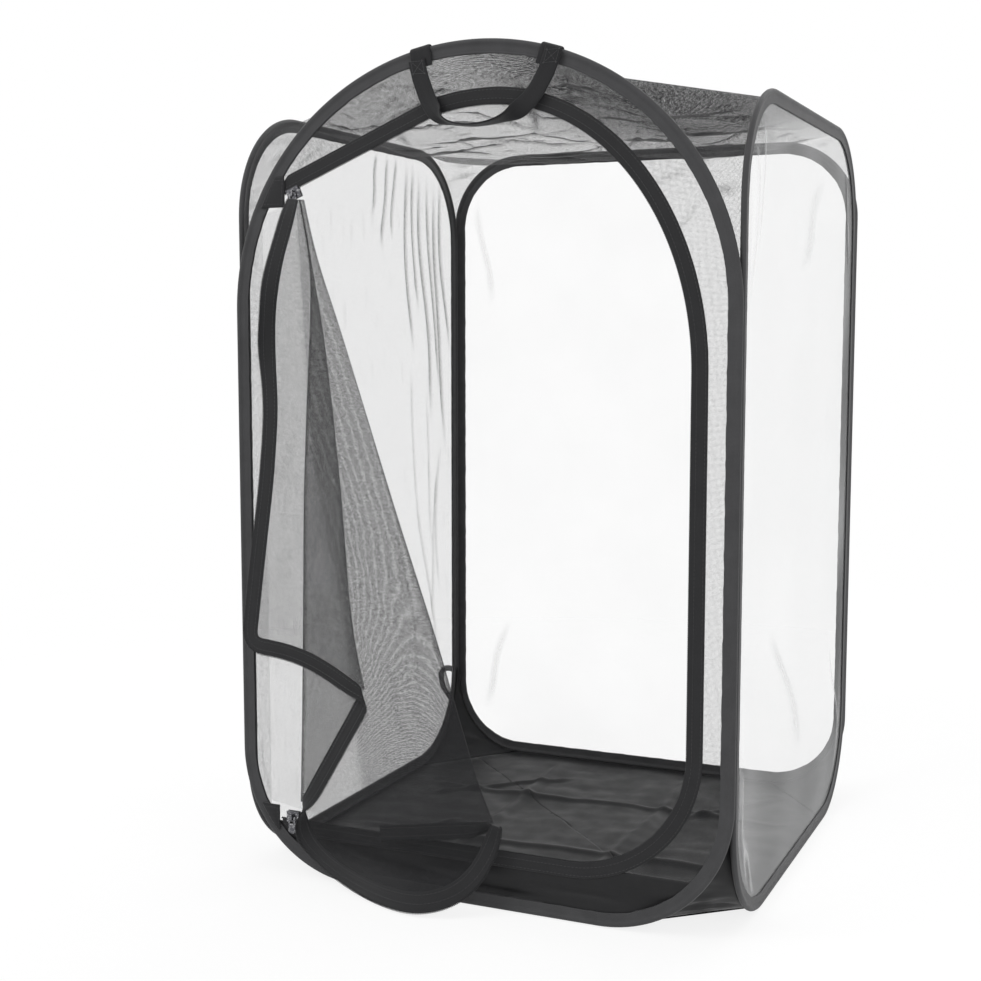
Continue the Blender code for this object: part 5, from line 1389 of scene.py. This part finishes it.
# Storage loop. A narrow webbing loop is sewn to the outside of the back loop's lower left corner, and
# slips round the cage when it is folded and twisted into a coil.
STORAGE_BAND = 0.006
STORAGE_THICK = 0.0012
STORAGE_EYE = (-0.2105, 0.070)
STORAGE_RADIUS = 0.0095
STORAGE_START = ((-0.185, 0.030), (-0.192, 0.043), (-0.199, 0.056))
STORAGE_END = ((-0.217, 0.058), (-0.206, 0.044), (-0.188, 0.031))
STORAGE_LIFT = (0.0, 0.0014)
STORAGE_OUT = 0.0025

turn = np.linspace(0, math.pi, 15)
eye = np.array(STORAGE_EYE) + STORAGE_RADIUS * np.stack([np.cos(turn), np.sin(turn)], -1)
path = np.vstack([STORAGE_START, eye, STORAGE_END])
path, run = even_line(path, 0.0018)
path = eased(path, 2)
ahead = np.gradient(path, axis=0)
aside = unit(np.stack([ahead[:, 1], -ahead[:, 0]], -1))
places = on_panel("back", path[:, 0], path[:, 1], np.linspace(*STORAGE_LIFT, len(path)))
sideways = np.stack([aside[:, 0], np.zeros(len(path)), aside[:, 1]], -1)
backwards = np.broadcast_to((0.0, 1.0, 0.0), places.shape)
storage = tape_strip("storage_webbing", places, sideways, backwards, run, -STORAGE_BAND / 2,
                     np.full(len(run), STORAGE_BAND / 2), STORAGE_OUT, STORAGE_OUT + STORAGE_THICK, webbing)
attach(storage, "back_panel")
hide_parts("storage_loop")


# Stage. A wide, plain white floor that keeps the cage's shadow, soft lamps above and beside it, a
# pale sky and the camera, which stands to the right of the front and looks slightly down.
CAMERA_TURN = math.radians(23.99)
CAMERA_PITCH = math.radians(6.10)
CAMERA_DISTANCE = 1.293
AIM_HEIGHT = 0.294
AIM_SHIFT = -0.067
LENS = 55.8
GROUND_REACH = 2
GROUND_LEVEL = -0.0006
LAMP_AIM = (0, 0, 0.3)
# Each lamp: its place, its size and its power in watts
LAMPS = {"key lamp": ((-1.6, -2.2, 2.6), 1.8, 34), "fill lamp": ((2.4, -1.4, 1.6), 1.8, 14),
         "rear lamp": ((0.8, 2.4, 2.4), 2.0, 20)}

to_right = Vector((math.cos(CAMERA_TURN), math.sin(CAMERA_TURN), 0))
aim = Vector((0, 0, AIM_HEIGHT)) + to_right * AIM_SHIFT
away = Vector((math.sin(CAMERA_TURN) * math.cos(CAMERA_PITCH),
               -math.cos(CAMERA_TURN) * math.cos(CAMERA_PITCH), math.sin(CAMERA_PITCH)))
camera = bpy.data.objects.new("camera", bpy.data.cameras.new("camera"))
camera.data.lens = LENS
camera.data.sensor_width = 36
camera.data.sensor_fit = "HORIZONTAL"
camera.data.clip_start = 0.02
camera.location = aim + away * CAMERA_DISTANCE
camera.rotation_euler = (-away).to_track_quat("-Z", "Y").to_euler()
bpy.context.scene.collection.objects.link(camera)
bpy.context.scene.camera = camera


def seen_directly(tree):
    """1 for rays that only look at the background, 0 for rays that light the object."""
    path = put(tree, "ShaderNodeLightPath", {})
    seen = sum_of(tree, "MAXIMUM", path.outputs["Is Camera Ray"], path.outputs["Is Glossy Ray"])
    return sum_of(tree, "MAXIMUM", seen, path.outputs["Is Transmission Ray"])


world = bpy.data.worlds.new("pale studio")
world.use_nodes = True
bpy.context.scene.world = world
sky = world.node_tree
dim = put(sky, "ShaderNodeBackground", {"Color": (1, 1, 1, 1), "Strength": 0.52})
bright = put(sky, "ShaderNodeBackground", {"Color": (1, 1, 1, 1), "Strength": 1.0})
either = put(sky, "ShaderNodeMixShader", {0: seen_directly(sky), 1: dim.outputs[0], 2: bright.outputs[0]})
sky.links.new(either.outputs[0], sky.nodes["World Output"].inputs[0])

ground_finish, tree, shader = new_finish("white_studio_floor", (0.86, 0.86, 0.86), 0.9)
shader.inputs["Specular IOR Level"].default_value = 0
glow = put(tree, "ShaderNodeEmission", {"Color": (1, 1, 1, 1), "Strength": 1.12})
share = sum_of(tree, "MULTIPLY", seen_directly(tree), 0.74)
mixed = put(tree, "ShaderNodeMixShader", {0: share, 1: shader.outputs[0], 2: glow.outputs[0]})
where = object_place(tree)
far_off = put(tree, "ShaderNodeVectorMath", {0: where}, operation="LENGTH").outputs["Value"]
clear = put(tree, "ShaderNodeBsdfTransparent", {"Color": (1, 1, 1, 1)})
fading = put(tree, "ShaderNodeMixShader", {0: spread(tree, far_off, 0.55, 1.5, 0.0, 1.0, "SMOOTHSTEP"),
                                           1: mixed.outputs[0], 2: clear.outputs[0]})
tree.links.new(fading.outputs[0], tree.nodes["Material Output"].inputs[0])
ground_mesh = bpy.data.meshes.new("ground")
ground_corners = [(a * GROUND_REACH, b * GROUND_REACH, GROUND_LEVEL)
                  for a, b in ((-1, -1), (1, -1), (1, 1), (-1, 1))]
ground_mesh.from_pydata(ground_corners, [], [(0, 1, 2, 3)])
ground_mesh.materials.append(ground_finish)
ground = bpy.data.objects.new("ground", ground_mesh)
bpy.context.scene.collection.objects.link(ground)

for name, (place, size, watts) in LAMPS.items():
    lamp = bpy.data.lights.new(name, "AREA")
    lamp.size = size
    lamp.energy = watts
    holder = bpy.data.objects.new(name, lamp)
    holder.location = place
    holder.rotation_euler = (Vector(LAMP_AIM) - Vector(place)).to_track_quat("-Z", "Y").to_euler()
    bpy.context.scene.collection.objects.link(holder)

bpy.context.scene.view_settings.view_transform = "Standard"
bpy.context.scene.cycles.transparent_max_bounces = 48
